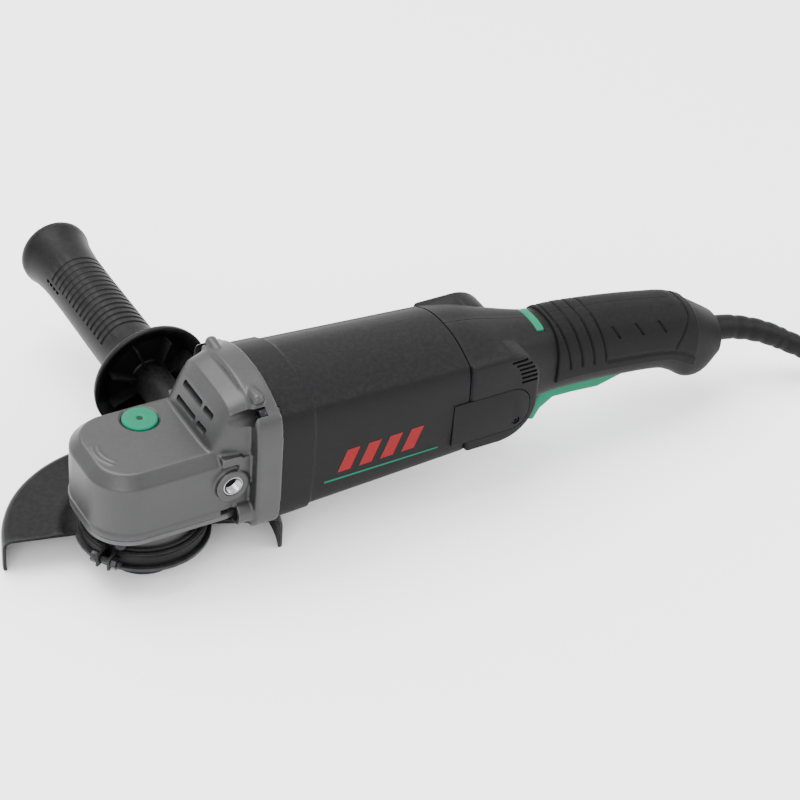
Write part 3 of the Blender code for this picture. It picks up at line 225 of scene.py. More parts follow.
def make_lines_group():
    """Lines across one axis: tool marks, stacked sheets or laid wire. Pitch is in metres."""
    tree, start, end = new_group(
        "even_lines",
        [("Pitch", "NodeSocketFloat", 0.0005), ("Across", "NodeSocketVector", (1.0, 0.0, 0.0)),
         ("Waver", "NodeSocketFloat", 0.0)],
        [("Height", "NodeSocketFloat"), ("Tone", "NodeSocketFloat")])
    where = tree.nodes.new("ShaderNodeTexCoord")
    along = new_node(tree, "ShaderNodeVectorMath", operation="DOT_PRODUCT")
    tree.links.new(where.outputs["Object"], along.inputs[0])
    tree.links.new(start.outputs["Across"], along.inputs[1])
    count = new_node(tree, "ShaderNodeMath", operation="DIVIDE")
    tree.links.new(along.outputs["Value"], count.inputs[0])
    tree.links.new(start.outputs["Pitch"], count.inputs[1])
    drift = new_node(tree, "ShaderNodeTexNoise", Scale=90.0, Detail=2.0)
    tree.links.new(where.outputs["Object"], drift.inputs["Vector"])
    shifted = new_node(tree, "ShaderNodeMath", operation="MULTIPLY_ADD")
    tree.links.new(drift.outputs["Fac"], shifted.inputs[0])
    tree.links.new(start.outputs["Waver"], shifted.inputs[1])
    tree.links.new(count.outputs[0], shifted.inputs[2])
    wave = new_node(tree, "ShaderNodeMath", operation="PINGPONG")
    wave.inputs[1].default_value = 0.5
    tree.links.new(shifted.outputs[0], wave.inputs[0])
    row = new_node(tree, "ShaderNodeMath", operation="FLOOR")
    tree.links.new(shifted.outputs[0], row.inputs[0])
    shade = new_node(tree, "ShaderNodeTexWhiteNoise", noise_dimensions="1D")
    tree.links.new(row.outputs[0], shade.inputs["W"])
    doubled = new_node(tree, "ShaderNodeMath", operation="MULTIPLY")
    doubled.inputs[1].default_value = 2.0
    tree.links.new(wave.outputs[0], doubled.inputs[0])
    tree.links.new(doubled.outputs[0], end.inputs["Height"])
    tree.links.new(shade.outputs["Value"], end.inputs["Tone"])
    return tree


mould_grain = make_grain_group()
rubbed_edges = make_wear_group()
settled_dust = make_dust_group()
even_lines = make_lines_group()


def skin_look(name, colour, rough, metal=0.0, grain=0.0008, depth=0.00002, tone=0.18, cloud=0.03,
              wear=0.2, worn=(0.10, 0.10, 0.105), dust=0.015, lines=None, gloss=0.12):
    """A finish of its own Principled shader: colour moved by tone, worn edges and dust, a roughness that
    goes with them, and bumps from the grain or from lines of a given pitch, direction and depth."""
    made = bpy.data.materials.new(name)
    made.use_nodes = True
    tree = made.node_tree
    shader = tree.nodes["Principled BSDF"]
    shader.inputs["Metallic"].default_value = metal
    shader.inputs["Specular IOR Level"].default_value = gloss
    skin = new_node(tree, "ShaderNodeGroup", node_tree=mould_grain, Size=grain, Cloud_Size=cloud)
    rubbed = new_node(tree, "ShaderNodeGroup", node_tree=rubbed_edges, Amount=wear)
    dusty = new_node(tree, "ShaderNodeGroup", node_tree=settled_dust, Amount=dust)
    base = new_node(tree, "ShaderNodeMix", data_type="RGBA")
    base.inputs["A"].default_value = (*[c * (1 - tone) for c in colour], 1)
    base.inputs["B"].default_value = (*[min(c * (1 + tone), 1) for c in colour], 1)
    height = skin.outputs["Height"]
    tint = skin.outputs["Tone"]
    if lines:
        pitch, across, waver = lines
        rows = new_node(tree, "ShaderNodeGroup", node_tree=even_lines, Pitch=pitch, Across=across,
                        Waver=waver)
        height = rows.outputs["Height"]
        shuffled = new_node(tree, "ShaderNodeMix")
        shuffled.inputs["Factor"].default_value = 0.5
        tree.links.new(skin.outputs["Tone"], shuffled.inputs["A"])
        tree.links.new(rows.outputs["Tone"], shuffled.inputs["B"])
        tint = shuffled.outputs["Result"]
    tree.links.new(tint, base.inputs["Factor"])
    edged = new_node(tree, "ShaderNodeMix", data_type="RGBA")
    edged.inputs["B"].default_value = (*worn, 1)
    tree.links.new(rubbed.outputs["Mask"], edged.inputs["Factor"])
    tree.links.new(base.outputs["Result"], edged.inputs["A"])
    dusted = new_node(tree, "ShaderNodeMix", data_type="RGBA")
    dusted.inputs["B"].default_value = (0.22, 0.215, 0.21, 1)
    tree.links.new(dusty.outputs["Mask"], dusted.inputs["Factor"])
    tree.links.new(edged.outputs["Result"], dusted.inputs["A"])
    tree.links.new(dusted.outputs["Result"], shader.inputs["Base Color"])
    sheen = new_node(tree, "ShaderNodeMapRange")
    sheen.inputs["To Min"].default_value = max(rough - 0.07, 0.05)
    sheen.inputs["To Max"].default_value = min(rough + 0.07, 1.0)
    tree.links.new(skin.outputs["Speckle"], sheen.inputs["Value"])
    dulled = new_node(tree, "ShaderNodeMath", operation="MULTIPLY_ADD", use_clamp=True)
    dulled.inputs[1].default_value = 0.25
    tree.links.new(dusty.outputs["Mask"], dulled.inputs[0])
    tree.links.new(sheen.outputs["Result"], dulled.inputs[2])
    tree.links.new(dulled.outputs[0], shader.inputs["Roughness"])
    bump = new_node(tree, "ShaderNodeBump", Strength=1.0, Distance=depth)
    tree.links.new(height, bump.inputs["Height"])
    tree.links.new(bump.outputs["Normal"], shader.inputs["Normal"])
    return made


lead_r = 0.0042
lead_exit = (0.4403, -0.0217, 0.0148)
lead_route = (lead_exit, (0.4480, -0.0257, 0.0102), (0.4570, -0.0318, 0.0062), (0.4670, -0.0398, 0.0044),
              (0.4780, -0.0505, 0.0043), (0.4885, -0.0615, 0.0043), (0.4984, -0.0717, 0.0043))
coil_middle = (0.540, -0.030)
coil_inner_r = 0.0418
coil_outer_r = 0.0502
coil_levels = [0.0043 + 0.0084 * i for i in range(4)]
plug_base = (0.5902, 0.004, 0.018)


def smooth_route(points, spacing):
    """Points at nearly even spacing on a smooth curve through the route's own points."""
    route = [Vector(p) for p in points]
    route = [2 * route[0] - route[1]] + route + [2 * route[-1] - route[-2]]
    fine = []
    for a, b, c, d in zip(route, route[1:], route[2:], route[3:]):
        for i in range(24):
            t = i / 24
            fine.append(0.5 * (2 * b + (c - a) * t + (2 * a - 5 * b + 4 * c - d) * t * t
                               + (3 * b - a - 3 * c + d) * t ** 3))
    fine.append(route[-2])
    kept = [fine[0]]
    for point in fine:
        if (point - kept[-1]).length >= spacing:
            kept.append(point)
    kept[-1] = fine[-1]
    return kept


def ease(share):
    return (1 - math.cos(math.pi * min(max(share, 0), 1))) / 2


def coil_line():
    """The coil's turns: each place in the stack holds one turn, and the lead eases from one to the next
    where its neighbours leave room."""
    places = [(coil_outer_r + 2.07 * lead_r, coil_levels[0]), (coil_outer_r, coil_levels[0]),
              (coil_inner_r, coil_levels[0]), (coil_inner_r, coil_levels[1]), (coil_inner_r, coil_levels[2]),
              (coil_inner_r, coil_levels[3]), (coil_outer_r, coil_levels[3]), (coil_outer_r, coil_levels[2]),
              (coil_outer_r, coil_levels[1])]
    moves = [(3, 105), (363, 465), (657, 721), (1017, 1081), (1377, 1441), (1646, 1736),
             (1947, 2005), (2307, 2365)]
    line = []
    for turned in range(12, 2655, 12):
        radius, level = places[0]
        for (begin, finish), near, far in zip(moves, places, places[1:]):
            if turned > begin:
                share = ease((turned - begin) / (finish - begin))
                radius = near[0] + (far[0] - near[0]) * share
                level = near[1] + (far[1] - near[1]) * share
        angle = math.radians(225 + turned)
        line.append(Vector((coil_middle[0] + radius * math.cos(angle),
                            coil_middle[1] + radius * math.sin(angle), level)))
    for ahead in range(0, 47, 6):
        line.append(Vector((coil_middle[0] + coil_outer_r, coil_middle[1] + ahead / 1000,
                            coil_levels[1] + (plug_base[2] - coil_levels[1]) * ease((ahead - 12) / 34))))
    return line


lead_rubber = skin_look("lead_rubber", (0.0018, 0.0018, 0.0020), 0.52, grain=0.0006, depth=0.00003,
                        tone=0.22, wear=0.1, dust=0.024)
lead_line = smooth_route(lead_route, 0.005) + coil_line()
lead_curve = bpy.data.curves.new("mains_lead", "CURVE")
lead_curve.dimensions = "3D"
lead_curve.bevel_depth = lead_r
lead_curve.bevel_resolution = 5
lead_curve.use_fill_caps = True
lead_spline = lead_curve.splines.new("POLY")
lead_spline.points.add(len(lead_line) - 1)
for lead_point, lead_place in zip(lead_spline.points, lead_line):
    lead_point.co = (*lead_place, 1)
lead_curve.materials.append(lead_rubber)
mains_lead = bpy.data.objects.new("mains_lead", lead_curve)
bpy.context.scene.collection.objects.link(mains_lead)
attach(mains_lead, "casing")
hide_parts("power_cord", "cord_coil")


def loft(name, rings, finish=None, ends=(True, True), closed=False, angle=30):
    """Skin over rings of equal length. closed joins the last ring to the first."""
    width = len(rings[0])
    points = [p for ring in rings for p in ring]
    faces = []
    spans = list(range(len(rings) - 1)) + ([len(rings) - 1] if closed else [])
    for i in spans:
        near = i * width
        far = ((i + 1) % len(rings)) * width
        for j in range(width):
            k = (j + 1) % width
            faces.append((near + j, near + k, far + k, far + j))
    if not closed:
        if ends[0]:
            faces.append(tuple(range(width))[::-1])
        if ends[1]:
            faces.append(tuple(range((len(rings) - 1) * width, len(rings) * width)))
    made = object_from(name, points, faces, finish, angle)
    outward(made)
    made.data.set_sharp_from_angle(angle=math.radians(angle))
    return made


def outward(made):
    """Merges doubles and turns every face outwards."""
    work = bmesh.new()
    work.from_mesh(made.data)
    bmesh.ops.remove_doubles(work, verts=work.verts, dist=1e-6)
    bmesh.ops.recalc_face_normals(work, faces=work.faces)
    if work.calc_volume(signed=True) < 0:
        bmesh.ops.reverse_faces(work, faces=work.faces)
    work.to_mesh(made.data)
    work.free()
    made.data.shade_smooth()


def turned(name, profile, axis="Z", centre=(0, 0, 0), steps=64, finish=None, start=0.0, sweep=360.0,
           angle=30):
    """A profile of (radius, distance) points turned about an axis. A part turn is closed at its ends."""
    whole = sweep >= 360
    turns = steps if whole else steps + 1
    points, faces, rows = [], [], []
    for i in range(turns):
        a = math.radians(start + sweep * i / steps)
        row = []
        for j, (radius, distance) in enumerate(profile):
            if radius == 0 and i:
                row.append(rows[0][j])
                continue
            c, s = radius * math.cos(a), radius * math.sin(a)
            spot = {"X": (distance, c, s), "Y": (s, distance, c), "Z": (c, s, distance)}[axis]
            row.append(len(points))
            points.append([spot[k] + centre[k] for k in range(3)])
        rows.append(row)
    pairs = list(zip(rows, rows[1:])) + ([(rows[-1], rows[0])] if whole else [])
    for near, far in pairs:
        for j in range(len(profile)):
            k = (j + 1) % len(profile)
            ring = list(dict.fromkeys([near[j], near[k], far[k], far[j]]))
            if len(ring) > 2:
                faces.append(ring)
    if not whole:
        faces += [rows[0], rows[-1]]
    made = object_from(name, points, faces, finish, angle)
    outward(made)
    made.data.set_sharp_from_angle(angle=math.radians(angle))
    return made


def sweep_rings(line, radii, steps):
    """Rings across a line, kept from twisting by carrying one side along it."""
    rings = []
    side = Vector((0, 1, 0))
    for i, point in enumerate(line):
        forward = (line[min(i + 1, len(line) - 1)] - line[max(i - 1, 0)]).normalized()
        side = (side - forward * side.dot(forward)).normalized()
        up = forward.cross(side)
        rings.append([point + radii[i] * (math.cos(math.tau * k / steps) * side
                                          + math.sin(math.tau * k / steps) * up) for k in range(steps)])
    return rings


sleeve_route = ((0.3598, 0, 0.0410), (0.3718, 0, 0.0408), (0.3870, -0.0022, 0.0390),
                (0.4050, -0.0080, 0.0340), (0.4230, -0.0146, 0.0248), (0.4400, -0.0215, 0.0150))
sleeve_line = smooth_route(sleeve_route, 0.0009)
sleeve_radii = []
for sleeve_i in range(len(sleeve_line)):
    sleeve_share = sleeve_i / (len(sleeve_line) - 1)
    sleeve_rib = 0.5 + 0.5 * math.cos(math.tau * sleeve_i / 6)
    sleeve_fade = ease((sleeve_share - 0.30) / 0.1) * ease((0.97 - sleeve_share) / 0.03)
    sleeve_radii.append(0.0082 - 0.0020 * sleeve_share - 0.0005 * sleeve_fade * sleeve_rib ** 3)
sleeve_radii[-1] -= 0.0007
cord_sleeve = loft("cord_sleeve", sweep_rings(sleeve_line, sleeve_radii, 36), lead_rubber, angle=60)
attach(cord_sleeve, "casing")
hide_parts("cable_sleeve")

plug_look = skin_look("plug_rubber", (0.0020, 0.0020, 0.0022), 0.42, grain=0.0005, depth=0.00002, dust=0.018)
plug_profile = ((0, 0), (0.0052, 0), (0.0060, 0.0006), (0.0062, 0.0022), (0.0056, 0.0028), (0.0064, 0.0034),
                (0.0070, 0.0050), (0.0064, 0.0056), (0.0074, 0.0062), (0.0080, 0.0078), (0.0074, 0.0084),
                (0.0086, 0.0092), (0.0098, 0.0120), (0.0130, 0.0180), (0.0166, 0.0235), (0.0176, 0.0265),
                (0.0177, 0.0320), (0.0172, 0.0329), (0, 0.0330))
plug_body = turned("mains_plug", plug_profile, "Y", plug_base, 72, plug_look, angle=35)
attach(plug_body, "casing")
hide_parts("plug_body")
pin_look = skin_look("nickel_pin", (0.55, 0.54, 0.50), 0.24, 1.0, depth=0.000004, tone=0.08, dust=0.006,
                     wear=0.0, lines=(0.0003, (0.0, 1.0, 0.0), 0.2))
for pin_number, pin_side in enumerate((-1, 1), 1):
    pin_profile = ((0, 0.0332), (0.0024, 0.0332), (0.0024, 0.0505), (0.0021, 0.0516), (0.0012, 0.0522),
                   (0, 0.0523))
    plug_pin = turned("plug_contact_%d" % pin_number, pin_profile, "Y",
                      (plug_base[0] + pin_side * 0.0095, plug_base[1], plug_base[2]), 32, pin_look)
    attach(plug_pin, "casing")
    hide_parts("plug_pin_%d" % pin_number)

tie_angle = math.radians(118)
tie_half = 0.0065
tie_ring = []
for tie_step in range(48):
    tie_turn = math.tau * tie_step / 48
    tie_c, tie_s = math.cos(tie_turn), math.sin(tie_turn)
    tie_ring.append((0.0460 + 0.0091 * math.copysign(abs(tie_c) ** 0.55, tie_c),
                     0.01715 + 0.0168 * math.copysign(abs(tie_s) ** 0.55, tie_s)))
tie_rings = []
for tie_across, tie_out in ((-tie_half, 0.0), (-tie_half, 0.0008), (tie_half, 0.0008), (tie_half, 0.0)):
    ring = []
    for tie_r, tie_z in tie_ring:
        out_r = tie_r + tie_out * (1 if tie_r > 0.046 else -1)
        out_z = min(max(tie_z + tie_out * (1 if tie_z > 0.017 else -1), 0.0001), 0.0350)
        ring.append((coil_middle[0] + out_r * math.cos(tie_angle) - tie_across * math.sin(tie_angle),
                     coil_middle[1] + out_r * math.sin(tie_angle) + tie_across * math.cos(tie_angle), out_z))
    tie_rings.append(ring)
tie_look = skin_look("hook_and_loop", (0.02, 0.02, 0.022), 0.88, grain=0.0003, depth=0.00012, dust=0.036,
                     wear=0.0)
coil_tie = loft("coil_tie", tie_rings, tie_look, closed=True)
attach(coil_tie, "casing")


# ---------------------------------------------------------------- Gear head
# One aluminium die casting in dark metallic paint: a round-nosed box for the bevel gears, a vented hood
# that throws the motor's air forward, and a square flange that four screws pull against the motor.

motor_z = 0.070
cast_paint = skin_look("gear_head_paint", (0.0145, 0.0145, 0.0153), 0.42, 0.30, grain=0.0005, depth=0.000030,
                       tone=0.10, cloud=0.02, wear=0.5, worn=(0.34, 0.34, 0.35), dust=0.03, gloss=0.6)


def applied(made):
    """Keeps the mesh that the object's modifiers make, and takes the modifiers off."""
    bpy.context.view_layer.update()
    graph = bpy.context.evaluated_depsgraph_get()
    mesh = bpy.data.meshes.new_from_object(made.evaluated_get(graph), depsgraph=graph)
    made.modifiers.clear()
    made.data = mesh
    return made


def joined(name, pieces):
    """One object from several, which may overlap."""
    work = bmesh.new()
    for piece in pieces:
        work.from_mesh(piece.data)
        bpy.data.objects.remove(piece)
    mesh = bpy.data.meshes.new(name)
    work.to_mesh(mesh)
    work.free()
    made = bpy.data.objects.new(name, mesh)
    bpy.context.scene.collection.objects.link(made)
    return made


def cut(made, tools, how="DIFFERENCE"):
    """Takes each tool away from a piece, or joins it on."""
    for tool in tools:
        change = made.modifiers.new("cut", "BOOLEAN")
        change.operation = how
        change.solver = "EXACT"
        change.object = tool
        applied(made)
        bpy.data.objects.remove(tool)
    return made


def cast(made, cell, passes, finish):
    """Makes overlapping solids one skin with the small soft fillets of a casting."""
    skin = made.modifiers.new("skin", "REMESH")
    skin.mode = "VOXEL"
    skin.voxel_size = cell
    soft = made.modifiers.new("soft", "SMOOTH")
    soft.factor = 0.5
    soft.iterations = passes
    applied(made)
    made.data.materials.clear()
    made.data.materials.append(finish)
    made.data.shade_smooth()
    return made


def bevelled(made, width, steps=3, angle=35):
    """Rounds a piece's sharp edges."""
    edge = made.modifiers.new("edge", "BEVEL")
    edge.width = width
    edge.segments = steps
    edge.limit_method = "ANGLE"
    edge.angle_limit = math.radians(angle)
    edge.harden_normals = False
    applied(made)
    made.data.shade_smooth()
    made.data.set_sharp_from_angle(angle=math.radians(40))
    return made


def rounded(low, high, radii, steps=10):
    """A rectangle's outline with rounded corners: radii start at the low corner."""
    (x0, y0), (x1, y1) = low, high
    points = []
    for (x, y, begin), radius in zip(((x0, y0, 180), (x1, y0, 270), (x1, y1, 0), (x0, y1, 90)), radii):
        cx = x + math.copysign(radius, (x0 + x1) / 2 - x)
        cy = y + math.copysign(radius, (y0 + y1) / 2 - y)
        for i in range(steps + 1 if radius else 1):
            angle = math.radians(begin + 90 * i / steps)
            points.append((cx + radius * math.cos(angle), cy + radius * math.sin(angle)))
    return points


def oval(half_width, up, down, power, steps=64):
    points = []
    for i in range(steps):
        angle = math.tau * (i + 0.5) / steps
        c, s = math.cos(angle), math.sin(angle)
        points.append((half_width * math.copysign(abs(c) ** (2 / power), c),
                       (up if s > 0 else down) * math.copysign(abs(s) ** (2 / power), s)))
    return points


def casing_section(half_width, top, depth, around=8):
    """The motor end's section about its axis: a low roof, nearly flat sides and rounded lower corners,
    with around points between its corners."""
    shape = [(0, 1.0), (0.31, 0.975), (0.58, 0.895), (0.79, 0.79), (0.925, 0.70), (0.985, 0.45), (1.0, 0.0),
             (0.99, -0.45), (0.965, -0.74), (0.90, -0.90), (0.76, -0.985), (0.40, -1.0), (0, -1.0)]
    whole = shape + [(-a, b) for a, b in shape[-2:0:-1]]
    points = []
    for i in range(len(whole)):
        p0, p1, p2, p3 = (whole[(i + k) % len(whole)] for k in (-1, 0, 1, 2))
        for j in range(around):
            t = j / around
            spot = [0.5 * (2 * b + (c - a) * t + (2 * a - 5 * b + 4 * c - d) * t * t
                           + (3 * b - a - 3 * c + d) * t ** 3) for a, b, c, d in zip(p0, p1, p2, p3)]
            points.append((spot[0] * half_width, spot[1] * (top if spot[1] > 0 else depth)))
    return points


def across_x(x, outline, middle=motor_z):
    return [(x, a, middle + b) for a, b in outline]


def block(name, low, high):
    """A box as a tool for cutting, or a start for a casting."""
    xs, ys, zs = zip(low, high)
    points = [(x, y, z) for x in xs for y in ys for z in zs]
    return object_from(name, points, [(0, 1, 3, 2), (4, 6, 7, 5), (0, 4, 5, 1), (2, 3, 7, 6), (0, 2, 6, 4),
                                      (1, 5, 7, 3)])


def rod(name, radius, start, end, axis="Z", centre=(0, 0, 0), steps=48):
    return turned(name, ((0, start), (radius, start), (radius, end), (0, end)), axis, centre, steps)


nose_front, nose_side, nose_corner = -0.0372, 0.0325, 0.0240
nose_rings = []
for nose_inset, nose_z in ((0, 0.0406), (0, 0.0741), (0.0008, 0.0752), (0.0052, 0.0798), (0.0062, 0.0806)):
    nose_radius = nose_corner - nose_inset
    nose_rings.append([(x, y, nose_z) for x, y in rounded(
        (nose_front + nose_inset, -nose_side + nose_inset), (0.052, nose_side - nose_inset),
        (nose_radius, 0.001, 0.001, nose_radius), 16)])
head_parts = [loft("nose", nose_rings)]
head_parts.append(loft("slab", [across_x(0.0471, casing_section(0.0400, 0.0420, 0.0420)),
                                across_x(0.0486, casing_section(0.0414, 0.0433, 0.0433)),
                                across_x(0.0619, casing_section(0.0414, 0.0433, 0.0433))]))
head_parts.append(loft("hood", [across_x(0.0240, oval(0.0262, 0.0068, 0.006, 4)),
                                across_x(0.0275, oval(0.0272, 0.0170, 0.012, 5)),
                                across_x(0.0330, oval(0.0292, 0.0292, 0.018, 5)),
                                across_x(0.0375, oval(0.0304, 0.0365, 0.022, 5)),
                                across_x(0.0490, oval(0.0330, 0.0405, 0.025, 4.5))]))
head_parts.append(turned("bosses", ((0, -0.0357), (0.0092, -0.0357), (0.0097, -0.0352), (0.0097, 0.0352),
                                    (0.0092, 0.0357), (0, 0.0357)), "Y", (0.036, 0, 0.0611)))
head_parts.append(block("near_ledge", (0.0300, -0.0340, 0.0738), (0.0412, -0.0290, 0.0790)))
head_parts.append(block("far_ledge", (0.0300, 0.0290, 0.0738), (0.0412, 0.0340, 0.0790)))
head_parts.append(block("near_web", (0.0395, -0.0345, 0.0600), (0.0480, -0.0290, 0.0780)))
head_parts.append(block("far_web", (0.0395, 0.0290, 0.0600), (0.0480, 0.0345, 0.0780)))
head_parts.append(loft("base_rim", [[(x, y, z) for x, y in rounded(
    (nose_front - 0.0005, -nose_side - 0.0005), (0.0425, nose_side + 0.0005),
    (nose_corner, 0.010, 0.010, nose_corner), 16)] for z in (0.0406, 0.0440)]))
for lug_side in (-1, 1):
    lug_line = ((0, 0.0085), (0.0010, 0.0090), (0.0024, 0.0160), (0.0034, 0.0240), (0.0036, 0.0285),
                (0.0024, 0.0302), (0, 0.0305))
    head_parts.append(turned("lug", [(r, lug_side * d) for r, d in lug_line], "Y", (0.0525, 0, 0.1086)))
    head_parts.append(rod("screw_boss", 0.0072, 0.0385, 0.0480, "X", (0, 0.0312 * lug_side, 0.03955)))
for arc_r in (0.0178, 0.0150):
    head_parts.append(turned("arc_step", ((arc_r - 0.0005, 0.0800), (arc_r + 0.0005, 0.0800),
                                          (arc_r + 0.0003, 0.0811), (arc_r - 0.0003, 0.0811)),
                             "Z", (-0.011, -0.002, 0), 24, start=160, sweep=64))
gear_head = cast(joined("gear_head", head_parts), 0.00068, 2, cast_paint)


def slot_row(name, low_z, high_z, back_x, spans):
    """Slots with round ends side by side, sunk into the hood's steep front: each span of y is one slot."""
    return [loft(name, [[(x, y, z) for y, z in rounded((start_y, low_z), (end_y, high_z), (0.0016,) * 4, 8)]
                        for x in (0.0180, back_x)]) for start_y, end_y in spans]


head_tools = [rod("gear_room", 0.0290, 0.0380, 0.0678, steps=72)]
head_tools.append(turned("motor_bores", ((0, 0.0134), (0.0088, 0.0134), (0.0088, 0.0360), (0.0163, 0.0360),
                                         (0.0163, 0.0475), (0.0260, 0.0475), (0.0340, 0.0535),
                                         (0.0340, 0.0660), (0, 0.0660)), "X", (0, 0, motor_z), 64))
head_tools.append(turned("lock_well", ((0, 0.0726), (0.0101, 0.0726), (0.0101, 0.0794), (0.0117, 0.0805),
                                       (0.0117, 0.0840), (0, 0.0840)), centre=(0.0050, 0.0159, 0), steps=64))
head_tools.append(rod("bush_bore", 0.0065, 0.0668, 0.0718))
head_tools.append(rod("pin_bore", 0.0025, 0.0668, 0.0736, centre=(0.00333, 0.01059, 0), steps=24))
for boss_side in (-1, 1):
    boss_tool = ((0, 0.0285), (0.0053, 0.0285), (0.0053, 0.0345), (0.0066, 0.0362), (0.0066, 0.0380),
                 (0, 0.0380))
    head_tools.append(turned("boss_bore", [(r, boss_side * d) for r, d in boss_tool], "Y",
                             (0.036, 0, 0.0611), 48))
    for screw_z in (0.10045, 0.03955):
        head_tools.append(turned("screw_pocket", ((0, 0.0300), (0.0050, 0.0300), (0.0050, 0.0551),
                                                  (0.0027, 0.0551), (0.0027, 0.0640), (0, 0.0640)), "X",
                                 (0, 0.0312 * boss_side, screw_z), 40))
for cover_x in (-0.0243, 0.0243):
    for cover_y in (-0.0243, 0.0243):
        head_tools.append(rod("cover_thread", 0.0024, 0.0396, 0.0541, centre=(cover_x, cover_y, 0),
                              steps=24))
head_tools += slot_row("low_vents", 0.0850, 0.0888, 0.0330, ((-0.0175, -0.0072), (-0.0048, 0.0175)))
head_tools += slot_row("high_vents", 0.0936, 0.0976, 0.0385, ((-0.0175, -0.0072), (-0.0048, 0.0175)))
cut(gear_head, head_tools)
gear_head.data.set_sharp_from_angle(angle=math.radians(38))
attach(gear_head, "casing")
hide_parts("gear_housing")

bright_cut = skin_look("bright_thread", (0.30, 0.30, 0.31), 0.26, 1.0, depth=0.000006, tone=0.06, wear=0.0,
                       dust=0.006, lines=(0.0004, (0.0, 1.0, 0.0), 0.3))
for insert_name, insert_side, insert_start in (("near_thread", -1, 0.0288), ("far_thread", 1, 0.0300)):
    thread = [(0.0052, insert_start), (0.0052, 0.0347), (0.0056, 0.0350)]
    groove_count = 8 if insert_side < 0 else 0
    thread += [(0.00515, 0.0350)]
    for groove in range(groove_count):
        groove_at = 0.0347 - 0.0007 * groove
        thread += [(0.00505, groove_at), (0.0047, groove_at - 0.00035)]
    thread += [(0.0051, insert_start)]
    handle_thread = turned(insert_name, [(r, insert_side * d) for r, d in thread], "Y",
                           (0.036, 0, 0.0611), 64, bright_cut)
    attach(handle_thread, "casing")


# ---------------------------------------------------------------- Screws
# Hardened socket screws, blackened, with a six-sided socket: four through the flange, four up into the
# gear head from its cover, and the small one in each brush cover.

def make_screw_tree():
    """A socket screw head on every point of the object, turned to look along Facing."""
    tree, start, end = new_group(
        "socket_screws",
        [("Geometry", "NodeSocketGeometry", None), ("Head Radius", "NodeSocketFloat", 0.004),
         ("Head Height", "NodeSocketFloat", 0.003), ("Socket Radius", "NodeSocketFloat", 0.002),
         ("Facing", "NodeSocketVector", (0.0, 0.0, 1.0)), ("Finish", "NodeSocketMaterial", None)],
        [("Geometry", "NodeSocketGeometry")], "GeometryNodeTree")
    link = tree.links.new
    barrel = new_node(tree, "GeometryNodeMeshCylinder", Vertices=40)
    link(start.outputs["Head Radius"], barrel.inputs["Radius"])
    link(start.outputs["Head Height"], barrel.inputs["Depth"])
    socket = new_node(tree, "GeometryNodeMeshCylinder", Vertices=6)
    link(start.outputs["Socket Radius"], socket.inputs["Radius"])
    link(start.outputs["Head Height"], socket.inputs["Depth"])
    lift = new_node(tree, "ShaderNodeMath", operation="MULTIPLY")
    lift.inputs[1].default_value = 0.45
    link(start.outputs["Head Height"], lift.inputs[0])
    upward = new_node(tree, "ShaderNodeCombineXYZ")
    link(lift.outputs[0], upward.inputs["Z"])
    raised = new_node(tree, "GeometryNodeTransform")
    link(socket.outputs["Mesh"], raised.inputs["Geometry"])
    link(upward.outputs[0], raised.inputs["Translation"])
    hollow = new_node(tree, "GeometryNodeMeshBoolean", operation="DIFFERENCE")
    link(barrel.outputs["Mesh"], hollow.inputs["Mesh 1"])
    link(raised.outputs["Geometry"], hollow.inputs["Mesh 2"])
    facing = new_node(tree, "FunctionNodeAlignRotationToVector", axis="Z")
    link(start.outputs["Facing"], facing.inputs["Vector"])
    placed = new_node(tree, "GeometryNodeInstanceOnPoints")
    link(start.outputs["Geometry"], placed.inputs["Points"])
    link(hollow.outputs["Mesh"], placed.inputs["Instance"])
    link(facing.outputs["Rotation"], placed.inputs["Rotation"])
    real = new_node(tree, "GeometryNodeRealizeInstances")
    link(placed.outputs["Instances"], real.inputs["Geometry"])
    dressed = new_node(tree, "GeometryNodeSetMaterial")
    link(real.outputs["Geometry"], dressed.inputs["Geometry"])
    link(start.outputs["Finish"], dressed.inputs["Material"])
    link(dressed.outputs["Geometry"], end.inputs["Geometry"])
    return tree


def grown(name, tree, points, edge=0.0, **values):
    """Runs a geometry tree on loose points and keeps the plain mesh that it makes."""
    mesh = bpy.data.meshes.new(name)
    mesh.from_pydata([tuple(p) for p in points], [], [])
    made = bpy.data.objects.new(name, mesh)
    bpy.context.scene.collection.objects.link(made)
    maker = made.modifiers.new("maker", "NODES")
    maker.node_group = tree
    for item in tree.interface.items_tree:
        key = item.name.replace(" ", "_")
        if item.in_out == "INPUT" and key in values:
            maker[item.identifier] = values[key]
    applied(made)
    if edge:
        bevelled(made, edge, 2)
    made.data.shade_smooth()
    made.data.set_sharp_from_angle(angle=math.radians(30))
    return made


socket_screws = make_screw_tree()
screw_black = skin_look("blackened_screw", (0.016, 0.016, 0.017), 0.34, 0.9, grain=0.0003, depth=0.000005,
                        tone=0.15, wear=0.7, dust=0.012)
for screw_number, (screw_y, screw_z) in enumerate(((-0.0312, 0.10045), (-0.0312, 0.03955),
                                                   (0.0312, 0.10045), (0.0312, 0.03955)), 1):
    screw_head = grown("flange_screw_head_%d" % screw_number, socket_screws, [(0.0530, screw_y, screw_z)],
                       0.00025, Head_Radius=0.0042, Head_Height=0.0036, Socket_Radius=0.0024,
                       Facing=(-1.0, 0.0, 0.0), Finish=screw_black)
    screw_shank = rod("flange_screw_shank", 0.0019, 0.0546, 0.0636, "X", (0, screw_y, screw_z), 24)
    screw_shank.data.materials.append(screw_black)
    flange_screw = joined("flange_screw_%d" % screw_number, [screw_head, screw_shank])
    flange_screw.data.materials.clear()
    flange_screw.data.materials.append(screw_black)
    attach(flange_screw, "casing")
    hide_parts("housing_screw_%d" % screw_number)


